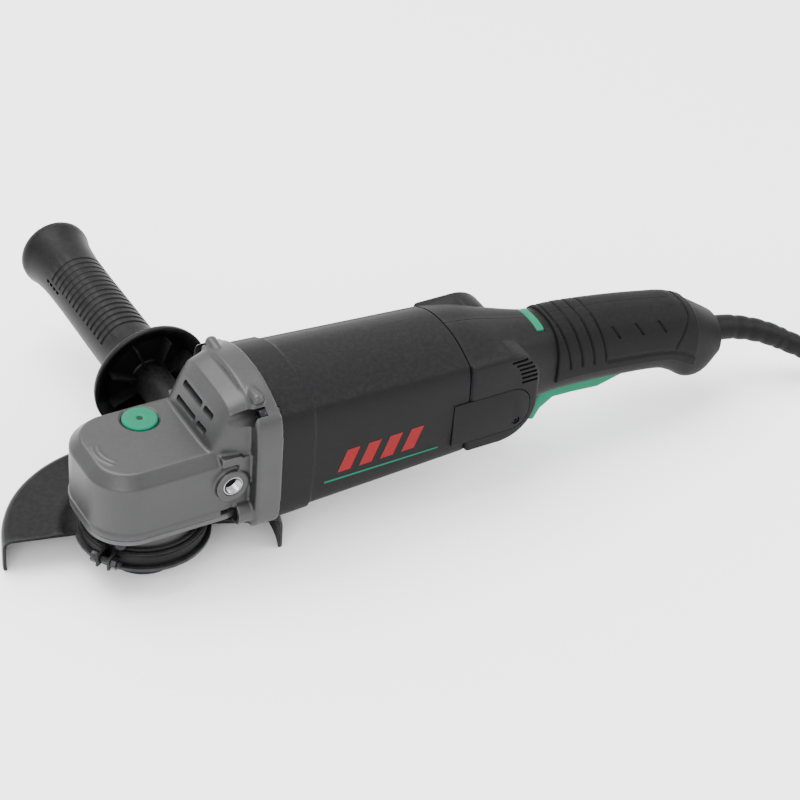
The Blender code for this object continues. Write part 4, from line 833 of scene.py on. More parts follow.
# ---------------------------------------------------------------- Bearing cover
# The cast plate under the gear head. Its round neck carries the spindle bearing inside and the guard's
# collar outside, and four screws hold it.

cover_rings = []
for cover_inset, cover_z in ((0.0010, 0.0363), (0, 0.0371), (0, 0.0396), (0.0006, 0.0403)):
    cover_rings.append([(x, y, cover_z) for x, y in rounded(
        (nose_front + cover_inset, -nose_side + cover_inset),
        (0.0430 - cover_inset, nose_side - cover_inset),
        (nose_corner, 0.010, 0.010, nose_corner), 16)])
bearing_cover = loft("cover_casting", cover_rings, cast_paint)
cut(bearing_cover, [turned("neck", ((0, 0.0216), (0.0292, 0.0216), (0.0301, 0.0225), (0.0301, 0.0375),
                                    (0, 0.0375)), steps=96)], "UNION")
cover_tools = [turned("bearing_room", ((0, 0.0200), (0.0115, 0.0200), (0.0115, 0.0270), (0.0178, 0.0270),
                                       (0.0178, 0.0415), (0, 0.0415)), steps=72)]
for cover_x in (-0.0243, 0.0243):
    for cover_y in (-0.0243, 0.0243):
        cover_tools.append(rod("cover_bore", 0.0024, 0.0350, 0.0415, centre=(cover_x, cover_y, 0), steps=24))
cut(bearing_cover, cover_tools)
bearing_cover.data.materials.clear()
bearing_cover.data.materials.append(cast_paint)
bearing_cover.data.shade_smooth()
bearing_cover.data.set_sharp_from_angle(angle=math.radians(35))
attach(bearing_cover, "casing")
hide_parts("bearing_cover")
for screw_number, (screw_x, screw_y) in enumerate(((-0.0243, -0.0243), (-0.0243, 0.0243), (0.0243, -0.0243),
                                                   (0.0243, 0.0243)), 1):
    screw_head = grown("cover_screw_head", socket_screws, [(screw_x, screw_y, 0.0345)], 0.00025,
                       Head_Radius=0.0038, Head_Height=0.0030, Socket_Radius=0.0021,
                       Facing=(0.0, 0.0, -1.0), Finish=screw_black)
    screw_shank = rod("cover_screw_shank", 0.0021, 0.0358, 0.0530, centre=(screw_x, screw_y, 0), steps=24)
    cover_screw = joined("cover_fixing_%d" % screw_number, [screw_head, screw_shank])
    cover_screw.data.materials.clear()
    cover_screw.data.materials.append(screw_black)
    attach(cover_screw, "casing")
    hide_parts("cover_screw_%d" % screw_number)


# ---------------------------------------------------------------- Spindle lock
# A green moulded button with a small well in its middle. A steel pin under it drops into the crown gear,
# and a light wire spring lifts it again.

green_look = skin_look("green_nylon", (0.0, 0.115, 0.062), 0.36, grain=0.0006, depth=0.000012, tone=0.07,
                       wear=0.15, worn=(0.10, 0.55, 0.38), dust=0.015)
lock_button = turned("lock_button", (
    (0.0081, 0.0764), (0.0099, 0.0764), (0.0099, 0.0798), (0.0097, 0.0804), (0.0092, 0.0808),
    (0.0050, 0.0810), (0.0024, 0.0810), (0.0019, 0.0808), (0.0017, 0.0803), (0, 0.0803), (0, 0.0790),
    (0.0081, 0.0790)), centre=(0.0050, 0.0159, 0), steps=72, finish=green_look)
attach(lock_button, "spindle_lock")
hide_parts("spindle_lock_button")
# A thin black disc laid in the button's shallow dip: painted shade, standing in for the dark of a deep hole
# in its middle.
button_well = turned("button_well", ((0, 0.0803), (0.0016, 0.0803), (0.0015, 0.08045), (0, 0.08045)),
                     centre=(0.0050, 0.0159, 0), steps=32, finish=screw_black)
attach(button_well, "spindle_lock")


# ---------------------------------------------------------------- Guard, its clamp and the wheel mount
# The guard is pressed from sheet steel and powder-coated black, and its collar turns on the gear head's
# neck under a clamp band with one screw. The wheel sits between a flange and a two-hole lock nut.

coat_black = skin_look("black_coat", (0.0017, 0.0017, 0.0019), 0.44, 0.25, grain=0.0004, depth=0.000025,
                       tone=0.16, wear=0.45, worn=(0.16, 0.16, 0.165), dust=0.036)
neck_r, sheet = 0.0306, 0.0018
guard_outer, guard_top = 0.0764, 0.0205
guard_profile = ((neck_r + 0.0030, guard_top - sheet), (guard_outer - sheet - 0.0030, guard_top - sheet),
                 (guard_outer - sheet - 0.0009, guard_top - sheet - 0.0009),
                 (guard_outer - sheet, guard_top - sheet - 0.0030), (guard_outer - sheet, 0.0014),
                 (guard_outer - sheet - 0.0004, 0.0004), (guard_outer - 0.0009, 0.0),
                 (guard_outer, 0.0010), (guard_outer, guard_top - 0.0048),
                 (guard_outer - 0.0006, guard_top - 0.0026), (guard_outer - 0.0020, guard_top - 0.0008),
                 (guard_outer - 0.0044, guard_top), (0.0500, guard_top), (0.0485, guard_top + 0.0008),
                 (0.0440, guard_top + 0.0008), (0.0425, guard_top), (neck_r + 0.0030, guard_top))
wheel_guard = turned("wheel_guard", guard_profile, steps=120, start=-21.5, sweep=188, finish=coat_black)
collar = turned("collar", ((neck_r, guard_top - sheet - 0.0001),
                           (neck_r + 0.0065, guard_top - sheet - 0.0001),
                           (neck_r + 0.0065, guard_top), (neck_r + sheet + 0.0012, guard_top + 0.0003),
                           (neck_r + sheet, guard_top + 0.0012), (neck_r + sheet, 0.0295),
                           (neck_r + sheet - 0.0004, 0.0299), (neck_r, 0.0299)), steps=120)
cut(wheel_guard, [collar], "UNION")
wheel_guard.data.shade_smooth()
wheel_guard.data.set_sharp_from_angle(angle=math.radians(38))
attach(wheel_guard, "guard_set")
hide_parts("guard")
band_in = neck_r + sheet + 0.0003
clamp_band = turned("clamp_band", ((band_in, 0.0211), (band_in + 0.0017, 0.0211), (band_in + 0.0017, 0.0220),
                                   (band_in + 0.0022, 0.0226), (band_in + 0.0022, 0.0266),
                                   (band_in + 0.0017, 0.0272), (band_in + 0.0017, 0.0281),
                                   (band_in, 0.0281)), steps=120, start=219.5, sweep=351)
ear_turn = Matrix.Rotation(math.radians(215), 4, "Z")
ear_tools = []
for ear_side in (-1, 1):
    ear_low, ear_high = sorted((ear_side * 0.00257, ear_side * 0.00427))
    ear = block("ear", (band_in + 0.0002, ear_low, 0.0209), (band_in + 0.0102, ear_high, 0.0284))
    bevelled(ear, 0.0005, 2)
    ear.data.transform(ear_turn)
    ear_tools.append(ear)
cut(clamp_band, ear_tools, "UNION")
screw_bore = rod("bore", 0.0023, -0.008, 0.008, "Y", (band_in + 0.0065, 0, 0.02465), 24)
screw_bore.data.transform(ear_turn)
cut(clamp_band, [screw_bore])
clamp_band.data.materials.clear()
clamp_band.data.materials.append(coat_black)
clamp_band.data.shade_smooth()
clamp_band.data.set_sharp_from_angle(angle=math.radians(35))
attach(clamp_band, "guard_set")
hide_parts("guard_clamp_band")

turned_steel = skin_look("turned_steel", (0.50, 0.50, 0.51), 0.28, 1.0, depth=0.000006, tone=0.07, wear=0.2,
                         dust=0.03, lines=(0.00035, (0.0, 0.0, 1.0), 0.3))
nut_black = skin_look("blackened_nut", (0.0065, 0.0065, 0.0070), 0.36, 0.75, grain=0.0004, depth=0.00001,
                      tone=0.2, wear=0.9, worn=(0.30, 0.30, 0.31), dust=0.015)
lock_nut = turned("wheel_nut", (
    (0.0071, 0.0009), (0.0075, 0.0005), (0.0146, 0.0005), (0.0150, 0.0007), (0.0163, 0.0016),
    (0.0196, 0.0017), (0.0200, 0.0018), (0.0211, 0.0030), (0.0212, 0.0034), (0.0212, 0.0074),
    (0.0208, 0.0080), (0.0071, 0.0080)), steps=96, finish=nut_black)
cut(lock_nut, [rod("pin_hole", 0.0026, -0.001, 0.0055, centre=(side * 0.0150, 0, 0), steps=32)
               for side in (-1, 1)])
lock_nut.data.shade_smooth()
lock_nut.data.set_sharp_from_angle(angle=math.radians(30))
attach(lock_nut, "spindle_set")
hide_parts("lock_nut")


# ---------------------------------------------------------------- Wheel mount and gears
# Turned and hobbed steel inside the head: the spindle with its flange and bearing, and the bevel gears,
# oiled and dark. Their shapes are the machined ones, so they take their finish only.

gear_steel = skin_look("oiled_gear_steel", (0.17, 0.165, 0.16), 0.32, 1.0, grain=0.0004, depth=0.000008,
                       tone=0.16, wear=0.8, worn=(0.5, 0.5, 0.5), dust=0.0,
                       lines=(0.0006, (0.0, 0.0, 1.0), 0.5))
bronze = skin_look("oiled_bronze", (0.50, 0.33, 0.14), 0.36, 1.0, depth=0.00001, tone=0.12, wear=0.3,
                   dust=0.0,
                   lines=(0.0005, (0.0, 0.0, 1.0), 0.3))


def dress(node, finish):
    """Puts a finish on a machined piece that keeps its own shape."""
    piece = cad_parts[node]
    if piece.material_slots:
        for slot in piece.material_slots:
            slot.link = "OBJECT"
            slot.material = finish
    else:
        piece.data.materials.append(finish)


for machined, machined_look in (("spindle", turned_steel), ("inner_flange", gear_steel),
                                ("spindle_bearing", turned_steel), ("crown_gear", gear_steel),
                                ("pinion_gear", gear_steel), ("spindle_bush", bronze),
                                ("lock_pin", turned_steel), ("lock_spring", turned_steel),
                                ("front_bearing", turned_steel), ("rear_bearing", turned_steel),
                                ("clamp_screw", screw_black), ("clamp_nut", screw_black),
                                ("rotor_shaft", turned_steel), ("trigger_pin", turned_steel),
                                ("side_handle_stud", turned_steel)):
    dress(machined, machined_look)


# ---------------------------------------------------------------- Motor
# The armature and field of a universal motor: stacked electrical sheet, enamelled copper wire, a copper
# commutator with carbon brushes in brass holders, a nylon fan and the air guide behind it.

stacked_sheet = skin_look("stacked_sheet", (0.20, 0.20, 0.21), 0.42, 1.0, depth=0.00004, tone=0.2, wear=0.2,
                          dust=0.0, lines=(0.0005, (1.0, 0.0, 0.0), 0.1))
copper_wire = skin_look("enamelled_copper", (0.42, 0.12, 0.045), 0.28, 0.85, depth=0.0002, tone=0.22,
                        wear=0.1,
                        dust=0.0, lines=(0.0007, (0.55, 0.60, 0.58), 1.2))
brushed_copper = skin_look("commutator_copper", (0.55, 0.24, 0.13), 0.30, 1.0, depth=0.00002, tone=0.12,
                           wear=0.1, dust=0.0, lines=(0.0022, (0.0, 0.70, 0.71), 0.0))
holder_brass = skin_look("holder_brass", (0.56, 0.41, 0.16), 0.34, 1.0, depth=0.00001, tone=0.12, wear=0.4,
                         worn=(0.75, 0.62, 0.32), dust=0.0, lines=(0.0004, (1.0, 0.0, 0.0), 0.5))
carbon = skin_look("pressed_carbon", (0.028, 0.028, 0.030), 0.62, grain=0.0003, depth=0.00003, tone=0.2,
                   wear=0.2, dust=0.0)
inner_nylon = skin_look("plain_nylon", (0.030, 0.029, 0.031), 0.50, grain=0.0007, depth=0.00002, tone=0.15,
                        wear=0.1, dust=0.006)
for inner_part, inner_look in (("stator_core", stacked_sheet), ("armature_core", stacked_sheet),
                               ("field_coil_top", copper_wire), ("field_coil_bottom", copper_wire),
                               ("armature_winding_front", copper_wire),
                               ("armature_winding_rear", copper_wire),
                               ("commutator", brushed_copper), ("brush_holder_left", holder_brass),
                               ("brush_holder_right", holder_brass), ("carbon_brush_left", carbon),
                               ("carbon_brush_right", carbon), ("fan", inner_nylon),
                               ("air_baffle", inner_nylon),
                               ("bearing_bracket", inner_nylon), ("switch_module", inner_nylon)):
    dress(inner_part, inner_look)


# ---------------------------------------------------------------- Motor housing
# One moulding in glass-filled nylon, matt and faintly purple-black, with a raised collar where it meets
# the flange and the maker's panel printed on its side: here slanted bars over a stripe, with no words.

matt_nylon = skin_look("matt_nylon", (0.0022, 0.0020, 0.0025), 0.56, grain=0.0007, depth=0.000045, tone=0.10,
                       cloud=0.05, wear=0.12, worn=(0.10, 0.10, 0.105), dust=0.027)
housing_front, housing_rear = 0.0624, 0.1815
housing_half = (0.0380, 0.0338)
housing_up = (0.0395, 0.0315)
housing_down = (0.0425, 0.0400)
collar_end = 0.0820


def housing_sizes(x):
    share = (x - housing_front) / (housing_rear - housing_front)
    return [a + (b - a) * share for a, b in (housing_half, housing_up, housing_down)]


housing_rings = []
outer_places = [housing_front, housing_front + 0.0006]
outer_places += [0.0640 + i * 0.0018 for i in range(10)]
outer_places += [collar_end - 0.0006, collar_end, collar_end + 0.0009, collar_end + 0.0016]
outer_places += [0.0850 + i * 0.0032 for i in range(30)] + [housing_rear - 0.0006, housing_rear]
for x in outer_places:
    half_width, up, down = housing_sizes(x)
    raise_by = 0.0011 * (1 - ease((x - collar_end) / 0.0014))
    if x == housing_front or x == housing_rear:
        raise_by -= 0.0005
    housing_rings.append(across_x(x, casing_section(half_width + raise_by, up + raise_by, down + raise_by)))


def ring_points(radius, x, count):
    """A circle that starts at its top and runs the way the casing's section does."""
    return [(x, radius * math.sin(math.tau * i / count), motor_z + radius * math.cos(math.tau * i / count))
            for i in range(count)]


ring_count = len(housing_rings[0])
for radius, x in ((0.0280, housing_rear), (0.0280, 0.1538), (0.0312, 0.1478), (0.0312, 0.0785),
                  (0.0340, housing_front)):
    housing_rings.append(ring_points(radius, x, ring_count))
motor_housing = loft("motor_casing", housing_rings, matt_nylon, closed=True, angle=28)
housing_tools = []
for screw_y in (-0.0312, 0.0312):
    for screw_z in (0.10045, 0.03955):
        housing_tools.append(rod("screw_bore", 0.0022, 0.0610, 0.0642, "X", (0, screw_y, screw_z), 24))


def cover_outline(spare):
    return rounded((0.1718 - spare, 0.0421 - spare), (0.2213 + spare, 0.0701 + spare),
                   (0, 0.0120, 0.0120, 0), 10)


def side_prism(name, outline, start_y, end_y):
    """An outline of (x, z) carried across from one y to another."""
    return loft(name, [[(x, y, z) for x, z in outline] for y in (start_y, end_y)])


for cover_side in (-1, 1):
    near, far = sorted((cover_side * 0.0304, cover_side * 0.060))
    housing_tools.append(side_prism("cover_seat", cover_outline(0.0003), near, far))
    near, far = sorted((cover_side * 0.025, cover_side * 0.0323))
    housing_tools.append(block("holder_window", (0.1472, near, 0.0634), (0.1604, far, 0.0766)))
cut(motor_housing, housing_tools)
motor_housing.data.materials.clear()
motor_housing.data.materials.append(matt_nylon)
motor_housing.data.shade_smooth()
motor_housing.data.set_sharp_from_angle(angle=math.radians(28))
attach(motor_housing, "casing")
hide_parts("motor_housing")

print_red = skin_look("printed_red", (0.145, 0.001, 0.003), 0.45, grain=0.0006, depth=0.00001, tone=0.08,
                      wear=0.1, dust=0.012)
print_green = skin_look("printed_green", (0.0, 0.085, 0.045), 0.45, grain=0.0006, depth=0.00001, tone=0.08,
                        wear=0.1, dust=0.012)


def side_y(x, z, side):
    """How far out the housing's side stands at a place on it, just proud of the skin."""
    half_width, up, down = housing_sizes(x)
    section = casing_section(half_width, up, down)
    right = sorted((b + motor_z, a) for a, b in section if a > 0)
    for (z0, y0), (z1, y1) in zip(right, right[1:]):
        if z0 <= z <= z1:
            return side * (y0 + (y1 - y0) * (z - z0) / max(z1 - z0, 1e-9))
    return side * half_width


def print_on_side(name, corners, finish, side, proud=0.00012):
    """A printed patch: a fine grid between four (x, z) corners, laid on the side as a thin film."""
    count = 10
    front, back = [], []
    for i in range(count + 1):
        for j in range(count + 1):
            u, v = i / count, j / count
            (ax, az), (bx, bz), (cx, cz), (dx, dz) = corners
            x = (ax * (1 - u) + bx * u) * (1 - v) + (dx * (1 - u) + cx * u) * v
            z = (az * (1 - u) + bz * u) * (1 - v) + (dz * (1 - u) + cz * u) * v
            y = side_y(x, z, side)
            front.append((x, y + side * proud, z))
            back.append((x, y - side * 0.0003, z))
    wide = count + 1
    faces = []
    for i in range(count):
        for j in range(count):
            a = i * wide + j
            faces.append((a, a + 1, a + wide + 1, a + wide))
            faces.append(tuple(wide * wide + k for k in (a, a + wide, a + wide + 1, a + 1)))
    rim = [i * wide for i in range(wide)] + [count * wide + j for j in range(1, wide)]
    rim += [i * wide + count for i in range(count - 1, -1, -1)] + [j for j in range(count - 1, 0, -1)]
    for a, b in zip(rim, rim[1:] + rim[:1]):
        faces.append((a, b, wide * wide + b, wide * wide + a))
    made = object_from(name, front + back, faces, finish, 60)
    outward(made)
    return made


panel_pieces = []
for panel_side in (-1, 1):
    bars = []
    for bar_x in (0.0985, 0.1120, 0.1255, 0.1390):
        bars.append(print_on_side("bar",
                                  ((bar_x, 0.0500), (bar_x + 0.0080, 0.0500), (bar_x + 0.0135, 0.0640),
                                          (bar_x + 0.0055, 0.0640)), print_red, panel_side))
    red_bars = joined("panel_bars_near" if panel_side < 0 else "panel_bars_far", bars)
    red_bars.data.materials.append(print_red)
    stripe = print_on_side("panel_stripe_near" if panel_side < 0 else "panel_stripe_far",
                           ((0.0906, 0.0450), (0.1634, 0.0437), (0.1634, 0.0447), (0.0906, 0.0463)),
                           print_green, panel_side)
    panel_pieces += [red_bars, stripe]
for panel_piece in panel_pieces:
    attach(panel_piece, "casing")


# ---------------------------------------------------------------- Rear handle
# Two nylon half shells that meet on the middle plane. They swell into the brush pods beside the motor,
# with air slots round the pod's end, and drop to a heel that guards the trigger.

handle_stations = (
    (0.1818, 0.0338, 0.1015, 0.0300, 3.6), (0.1988, 0.0310, 0.0990, 0.0325, 3.4),
    (0.2158, 0.0260, 0.0945, 0.0345, 3.0), (0.2328, 0.0222, 0.0900, 0.0365, 2.7),
    (0.2458, 0.0203, 0.0872, 0.0380, 2.6), (0.2638, 0.0194, 0.0862, 0.0378, 2.6),
    (0.2988, 0.0190, 0.0808, 0.0348, 2.6), (0.3268, 0.0186, 0.0752, 0.0305, 2.6),
    (0.3378, 0.0182, 0.0728, 0.0248, 2.6), (0.3490, 0.0177, 0.0680, 0.0170, 2.6),
    (0.3600, 0.0166, 0.0610, 0.0165, 2.4), (0.3700, 0.0138, 0.0540, 0.0250, 2.2))
saddle_x = 0.2398


def handle_at(x):
    """Half width, top, bottom and squareness at x, on a smooth curve through the stations."""
    rows = [handle_stations[0]] + list(handle_stations) + [handle_stations[-1]]
    for i in range(1, len(rows) - 2):
        if x <= rows[i + 1][0] or i == len(rows) - 3:
            span = rows[i + 1][0] - rows[i][0]
            t = (x - rows[i][0]) / span
            values = []
            for k in range(1, 5):
                before, here, there, after = (rows[i + j] for j in (-1, 0, 1, 2))
                lean = (there[k] - before[k]) / max(there[0] - before[0], 1e-9) * span
                lean_on = (after[k] - here[k]) / max(after[0] - here[0], 1e-9) * span
                values.append((2 * t ** 3 - 3 * t * t + 1) * here[k] + (t ** 3 - 2 * t * t + t) * lean
                              + (3 * t * t - 2 * t ** 3) * there[k] + (t ** 3 - t * t) * lean_on)
            return values


def half_arc(half_width, up, down, power, side, steps=48):
    """Half of a rounded outline on one side of the middle plane, from its top to its bottom."""
    points = []
    for i in range(steps + 1):
        angle = math.pi / 2 - math.pi * i / steps
        c, s = max(math.cos(angle), 0.0), math.sin(angle)
        across = side * max(half_width * c ** (2 / power), 0.00015)
        points.append((across, (up if s > 0 else down) * math.copysign(abs(s) ** (2 / power), s)))
    return points


def housing_half_section(half_width, top, depth, side, steps=48):
    """The motor end's section on one side, with evenly spaced points from its top to its bottom."""
    section = casing_section(half_width, top, depth)
    right = section[:len(section) // 2 + 1]
    reach = [0.0]
    for (a, b), (c, d) in zip(right, right[1:]):
        reach.append(reach[-1] + math.hypot(c - a, d - b))
    points = []
    for i in range(steps + 1):
        at = reach[-1] * i / steps
        across = float(np.interp(at, reach, [p[0] for p in right]))
        points.append((side * max(abs(across), 0.00015), float(np.interp(at, reach, [p[1] for p in right]))))
    return points


def handle_ring(x, side):
    half_width, top, bottom, power = handle_at(x)
    middle = (top + bottom) / 2
    round_part = half_arc(half_width, top - middle, middle - bottom, power, side)
    square_part = housing_half_section(half_width, top - motor_z, motor_z - bottom, side)
    share = min(max((x - housing_rear) / (saddle_x - housing_rear), 0), 1)
    outer = [(share * a + (1 - share) * c, share * b + (1 - share) * (d + motor_z - middle))
             for (a, b), (c, d) in zip(round_part, square_part)]
    if x > 0.3640:
        inner = [(a, 0.0410 - middle + b) for a, b in half_arc(0.0085, 0.0085, 0.0085, 2, side)]
    elif x < 0.1858:
        inner = half_arc(0.0280, 0.0980 - middle, middle - 0.0420, 2, side)
    else:
        inner = half_arc(half_width - 0.0026, top - middle - 0.0026, middle - bottom - 0.0026, power, side)
    return [(x, a, middle + b) for a, b in outer + inner[::-1]]


for handle_side, side_name in ((-1, "left"), (1, "right")):
    places = [0.1818 + i * 0.0030 for i in range(61)] + [0.3638, 0.3644, 0.3665, 0.3685, 0.3700]
    shell = loft("handle_half_" + side_name, [handle_ring(x, handle_side) for x in places], matt_nylon,
                 angle=32)
    low, high = sorted((handle_side * 0.0160, handle_side * 0.0346))
    pod = side_prism("pod", rounded((0.1818, 0.0341), (0.2272, 0.0931), (0, 0.0240, 0.0200, 0), 14),
                     low, high)
    bevelled(pod, 0.0026, 4)
    cut(shell, [pod], "UNION")
    low, high = sorted((handle_side * 0.0200, handle_side * 0.0278))
    shell_tools = [side_prism("pod_room", rounded((0.1805, 0.0376), (0.2232, 0.0896),
                                                  (0, 0.0200, 0.0160, 0), 10), low, high)]
    low, high = sorted((handle_side * 0.0304, handle_side * 0.060))
    shell_tools.append(side_prism("cover_seat", cover_outline(0.0003), low, high))
    shell_tools.append(block("trigger_room", (0.2373, -0.0095, 0.0050), (0.3243, 0.0095, 0.0525)))
    shell_tools.append(block("saddle_room", (saddle_x - 0.0029, -0.0115, 0.0800),
                             (saddle_x + 0.0029, 0.0115, 0.1100)))
    low, high = sorted((handle_side * 0.0300, handle_side * 0.0400))
    for slot_i in range(6):
        slot_z = 0.0727 + 0.0031 * slot_i
        slot_end = 0.2050 + math.sqrt(0.0200 ** 2 - (slot_z - 0.0725) ** 2)  # follows the pod's round corner
        shell_tools.append(side_prism("air_slot",
                                      rounded((slot_end - 0.0105, slot_z), (slot_end, slot_z + 0.0015),
                                                          (0.0007, 0.0007, 0.0007, 0.0007), 4), low, high))
    cut(shell, shell_tools)
    shell.data.materials.clear()
    shell.data.materials.append(matt_nylon)
    shell.data.shade_smooth()
    shell.data.set_sharp_from_angle(angle=math.radians(32))
    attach(shell, "casing")
    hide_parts("handle_shell_" + side_name)

    low, high = sorted((handle_side * 0.0307, handle_side * 0.0350))
    brush_cover = side_prism("cover_" + side_name, cover_outline(0.0), low, high)
    bevelled(brush_cover, 0.0007, 3)
    cover_bore = rod("cover_bore", 0.0024, 0.0325 * handle_side, 0.0370 * handle_side, "Y",
                     (0.2131, 0, 0.0478), 32)
    outward(cover_bore)
    cut(brush_cover, [cover_bore])
    brush_cover.data.materials.clear()
    brush_cover.data.materials.append(matt_nylon)
    brush_cover.data.shade_smooth()
    brush_cover.data.set_sharp_from_angle(angle=math.radians(32))
    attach(brush_cover, "casing")
    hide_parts("brush_cover_" + side_name)
    cover_head = grown("cover_screw_" + side_name, socket_screws, [(0.2131, 0.0335 * handle_side, 0.0478)],
                       0.0002, Head_Radius=0.0021, Head_Height=0.0016, Socket_Radius=0.0012,
                       Facing=(0.0, float(handle_side), 0.0), Finish=screw_black)
    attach(cover_head, "casing")


# ---------------------------------------------------------------- Soft grip
# A pad of soft black elastomer moulded over each half of the handle. Three deep ribs cross its front, a
# groove follows its border, and three short slanted marks are sunk near its rear.

soft_look = skin_look("soft_elastomer", (0.0017, 0.0015, 0.0018), 0.66, grain=0.0005, depth=0.00005,
                      tone=0.10,
                      wear=0.08, dust=0.02, gloss=0.12)
pad_front, pad_rear, pad_thick = 0.2480, 0.3490, 0.0016


def groove(distance, width, depth):
    """Depth of a soft-edged groove at a distance from its middle."""
    near = min(abs(distance) / width, 1)
    return depth * (1 - near * near) ** 2


def pad_sink(x, v):
    """How deep the pad's pattern is at x and at v, which runs from 0 at the top to 1 at its lower edge."""
    bow = 0.0085 * v * v
    sink = 0.0
    for rib_x, rib_width, rib_depth in ((0.2508, 0.0011, 0.0013), (0.2590, 0.0012, 0.0013),
                                        (0.2672, 0.0012, 0.0013), (0.2754, 0.0011, 0.0012)):
        if v < 0.86:
            sink = max(sink, groove(x - rib_x - bow, rib_width, rib_depth))
    if x > 0.2760 + bow and v < 0.93:
        sink = max(sink, groove(v - 0.86 + 0.0, 0.030, 0.0010))
    tail = 0.3420 - 0.0260 * max(v - 0.35, 0) ** 1.3
    if v < 0.88:
        sink = max(sink, groove(x - tail, 0.0010, 0.0010))
    for mark_x in (0.2856, 0.3022, 0.3186):
        if 0.42 < v < 0.62:
            sink = max(sink, groove(x - mark_x - 0.024 * (v - 0.42), 0.0014, 0.0012))
    return sink


for pad_side, side_name in ((-1, "left"), (1, "right")):
    rings = []
    rows = int((pad_rear - pad_front) / 0.00042)
    for i in range(rows + 1):
        x = pad_front + (pad_rear - pad_front) * i / rows
        half_width, top, bottom, power = handle_at(x)
        middle = (top + bottom) / 2
        reach = min((x - pad_front) / 0.0012, (pad_rear - x) / 0.0012, 1)
        proud = pad_thick * (0.45 + 0.55 * math.sqrt(max(1 - (1 - reach) ** 2, 0)))
        far = half_arc(half_width + proud, top - middle + proud, middle - bottom, power, pad_side, 160)[:97]
        near = half_arc(half_width + 0.0002, top - middle + 0.0002, middle - bottom, power, pad_side,
                        160)[:97]
        outer = []
        for j, ((a, b), (c, d)) in enumerate(zip(far, near)):
            v = j / 96
            edge = min((1 - v) / 0.02, 1)
            share = 1 - (pad_sink(x, v) / pad_thick) - 0.45 * (1 - math.sqrt(max(1 - (1 - edge) ** 2, 0)))
            share = max(share, 0.12)
            outer.append((c + (a - c) * share, d + (b - d) * share))
        rings.append([(x, a, middle + b) for a, b in outer + near[::-8][:13]])
    soft_pad = loft("soft_pad_" + side_name, rings, soft_look, angle=50)
    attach(soft_pad, "casing")
    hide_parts("soft_grip_" + side_name)


# ---------------------------------------------------------------- Trigger and lock-on button
# Green nylon: a paddle under the handle that turns on a pin at its rear, with a hooked nose and fine
# ribs for the finger, and a thin saddle across the handle that holds it in.

px, pz = 0.3158, 0.0445
trigger_outline = [(px + a, pz + b) for a, b in (
    (0.0045, -0.0025), (0.0020, 0.0035), (-0.0300, 0.0005), (-0.0620, -0.0005), (-0.0690, -0.0050),
    (-0.0735, -0.0150), (-0.0755, -0.0240), (-0.0720, -0.0250), (-0.0680, -0.0180), (-0.0600, -0.0125),
    (-0.0460, -0.0130), (-0.0290, -0.0145), (-0.0150, -0.0110), (-0.0030, -0.0085))]
trigger_bar = side_prism("trigger_bar", trigger_outline, -0.0089, 0.0089)
bevelled(trigger_bar, 0.0012, 4, 15)
pin_bore = rod("pin_bore", 0.0020, -0.02, 0.02, "Y", (px, 0, pz), 32)
rib_tools = []
for rib in range(9):
    rib_x = px - 0.0570 + 0.0030 * rib
    rib_tools.append(rod("finger_groove", 0.0006, -0.0072, 0.0072, "Y",
                         (rib_x, 0, pz - 0.01275 - 0.00009 * (rib - 3)), 12))
cut(trigger_bar, [pin_bore] + rib_tools)
trigger_bar.data.materials.clear()
trigger_bar.data.materials.append(green_look)
trigger_bar.data.shade_smooth()
trigger_bar.data.set_sharp_from_angle(angle=math.radians(35))
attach(trigger_bar, "trigger_lever")
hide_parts("trigger")

half_width, top, bottom, power = handle_at(saddle_x)
middle = (top + bottom) / 2
saddle_outer, saddle_inner = [], []
for i in range(33):
    across = 0.0110 * (1 - i / 16)
    drop = (1 - (abs(across) / half_width) ** power) ** (1 / power)
    saddle_outer.append((across, middle + (top - middle) * drop + 0.0004))
    saddle_inner.append((across, middle + (top - middle) * drop - 0.0034))
saddle_rings = [[(x, a, b) for a, b in saddle_outer + saddle_inner[::-1]]
                for x in (saddle_x - 0.0024, saddle_x + 0.0024)]
lock_on = loft("lock_on_saddle", saddle_rings, green_look)
bevelled(lock_on, 0.0005, 3)
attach(lock_on, "lock_on")
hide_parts("lock_on_button")


# ---------------------------------------------------------------- Side handle
# A moulded grip on a steel stud, with a broad dished guard at its root, a flared end, fine ribs round
# the far half and slanted grooves by the end.

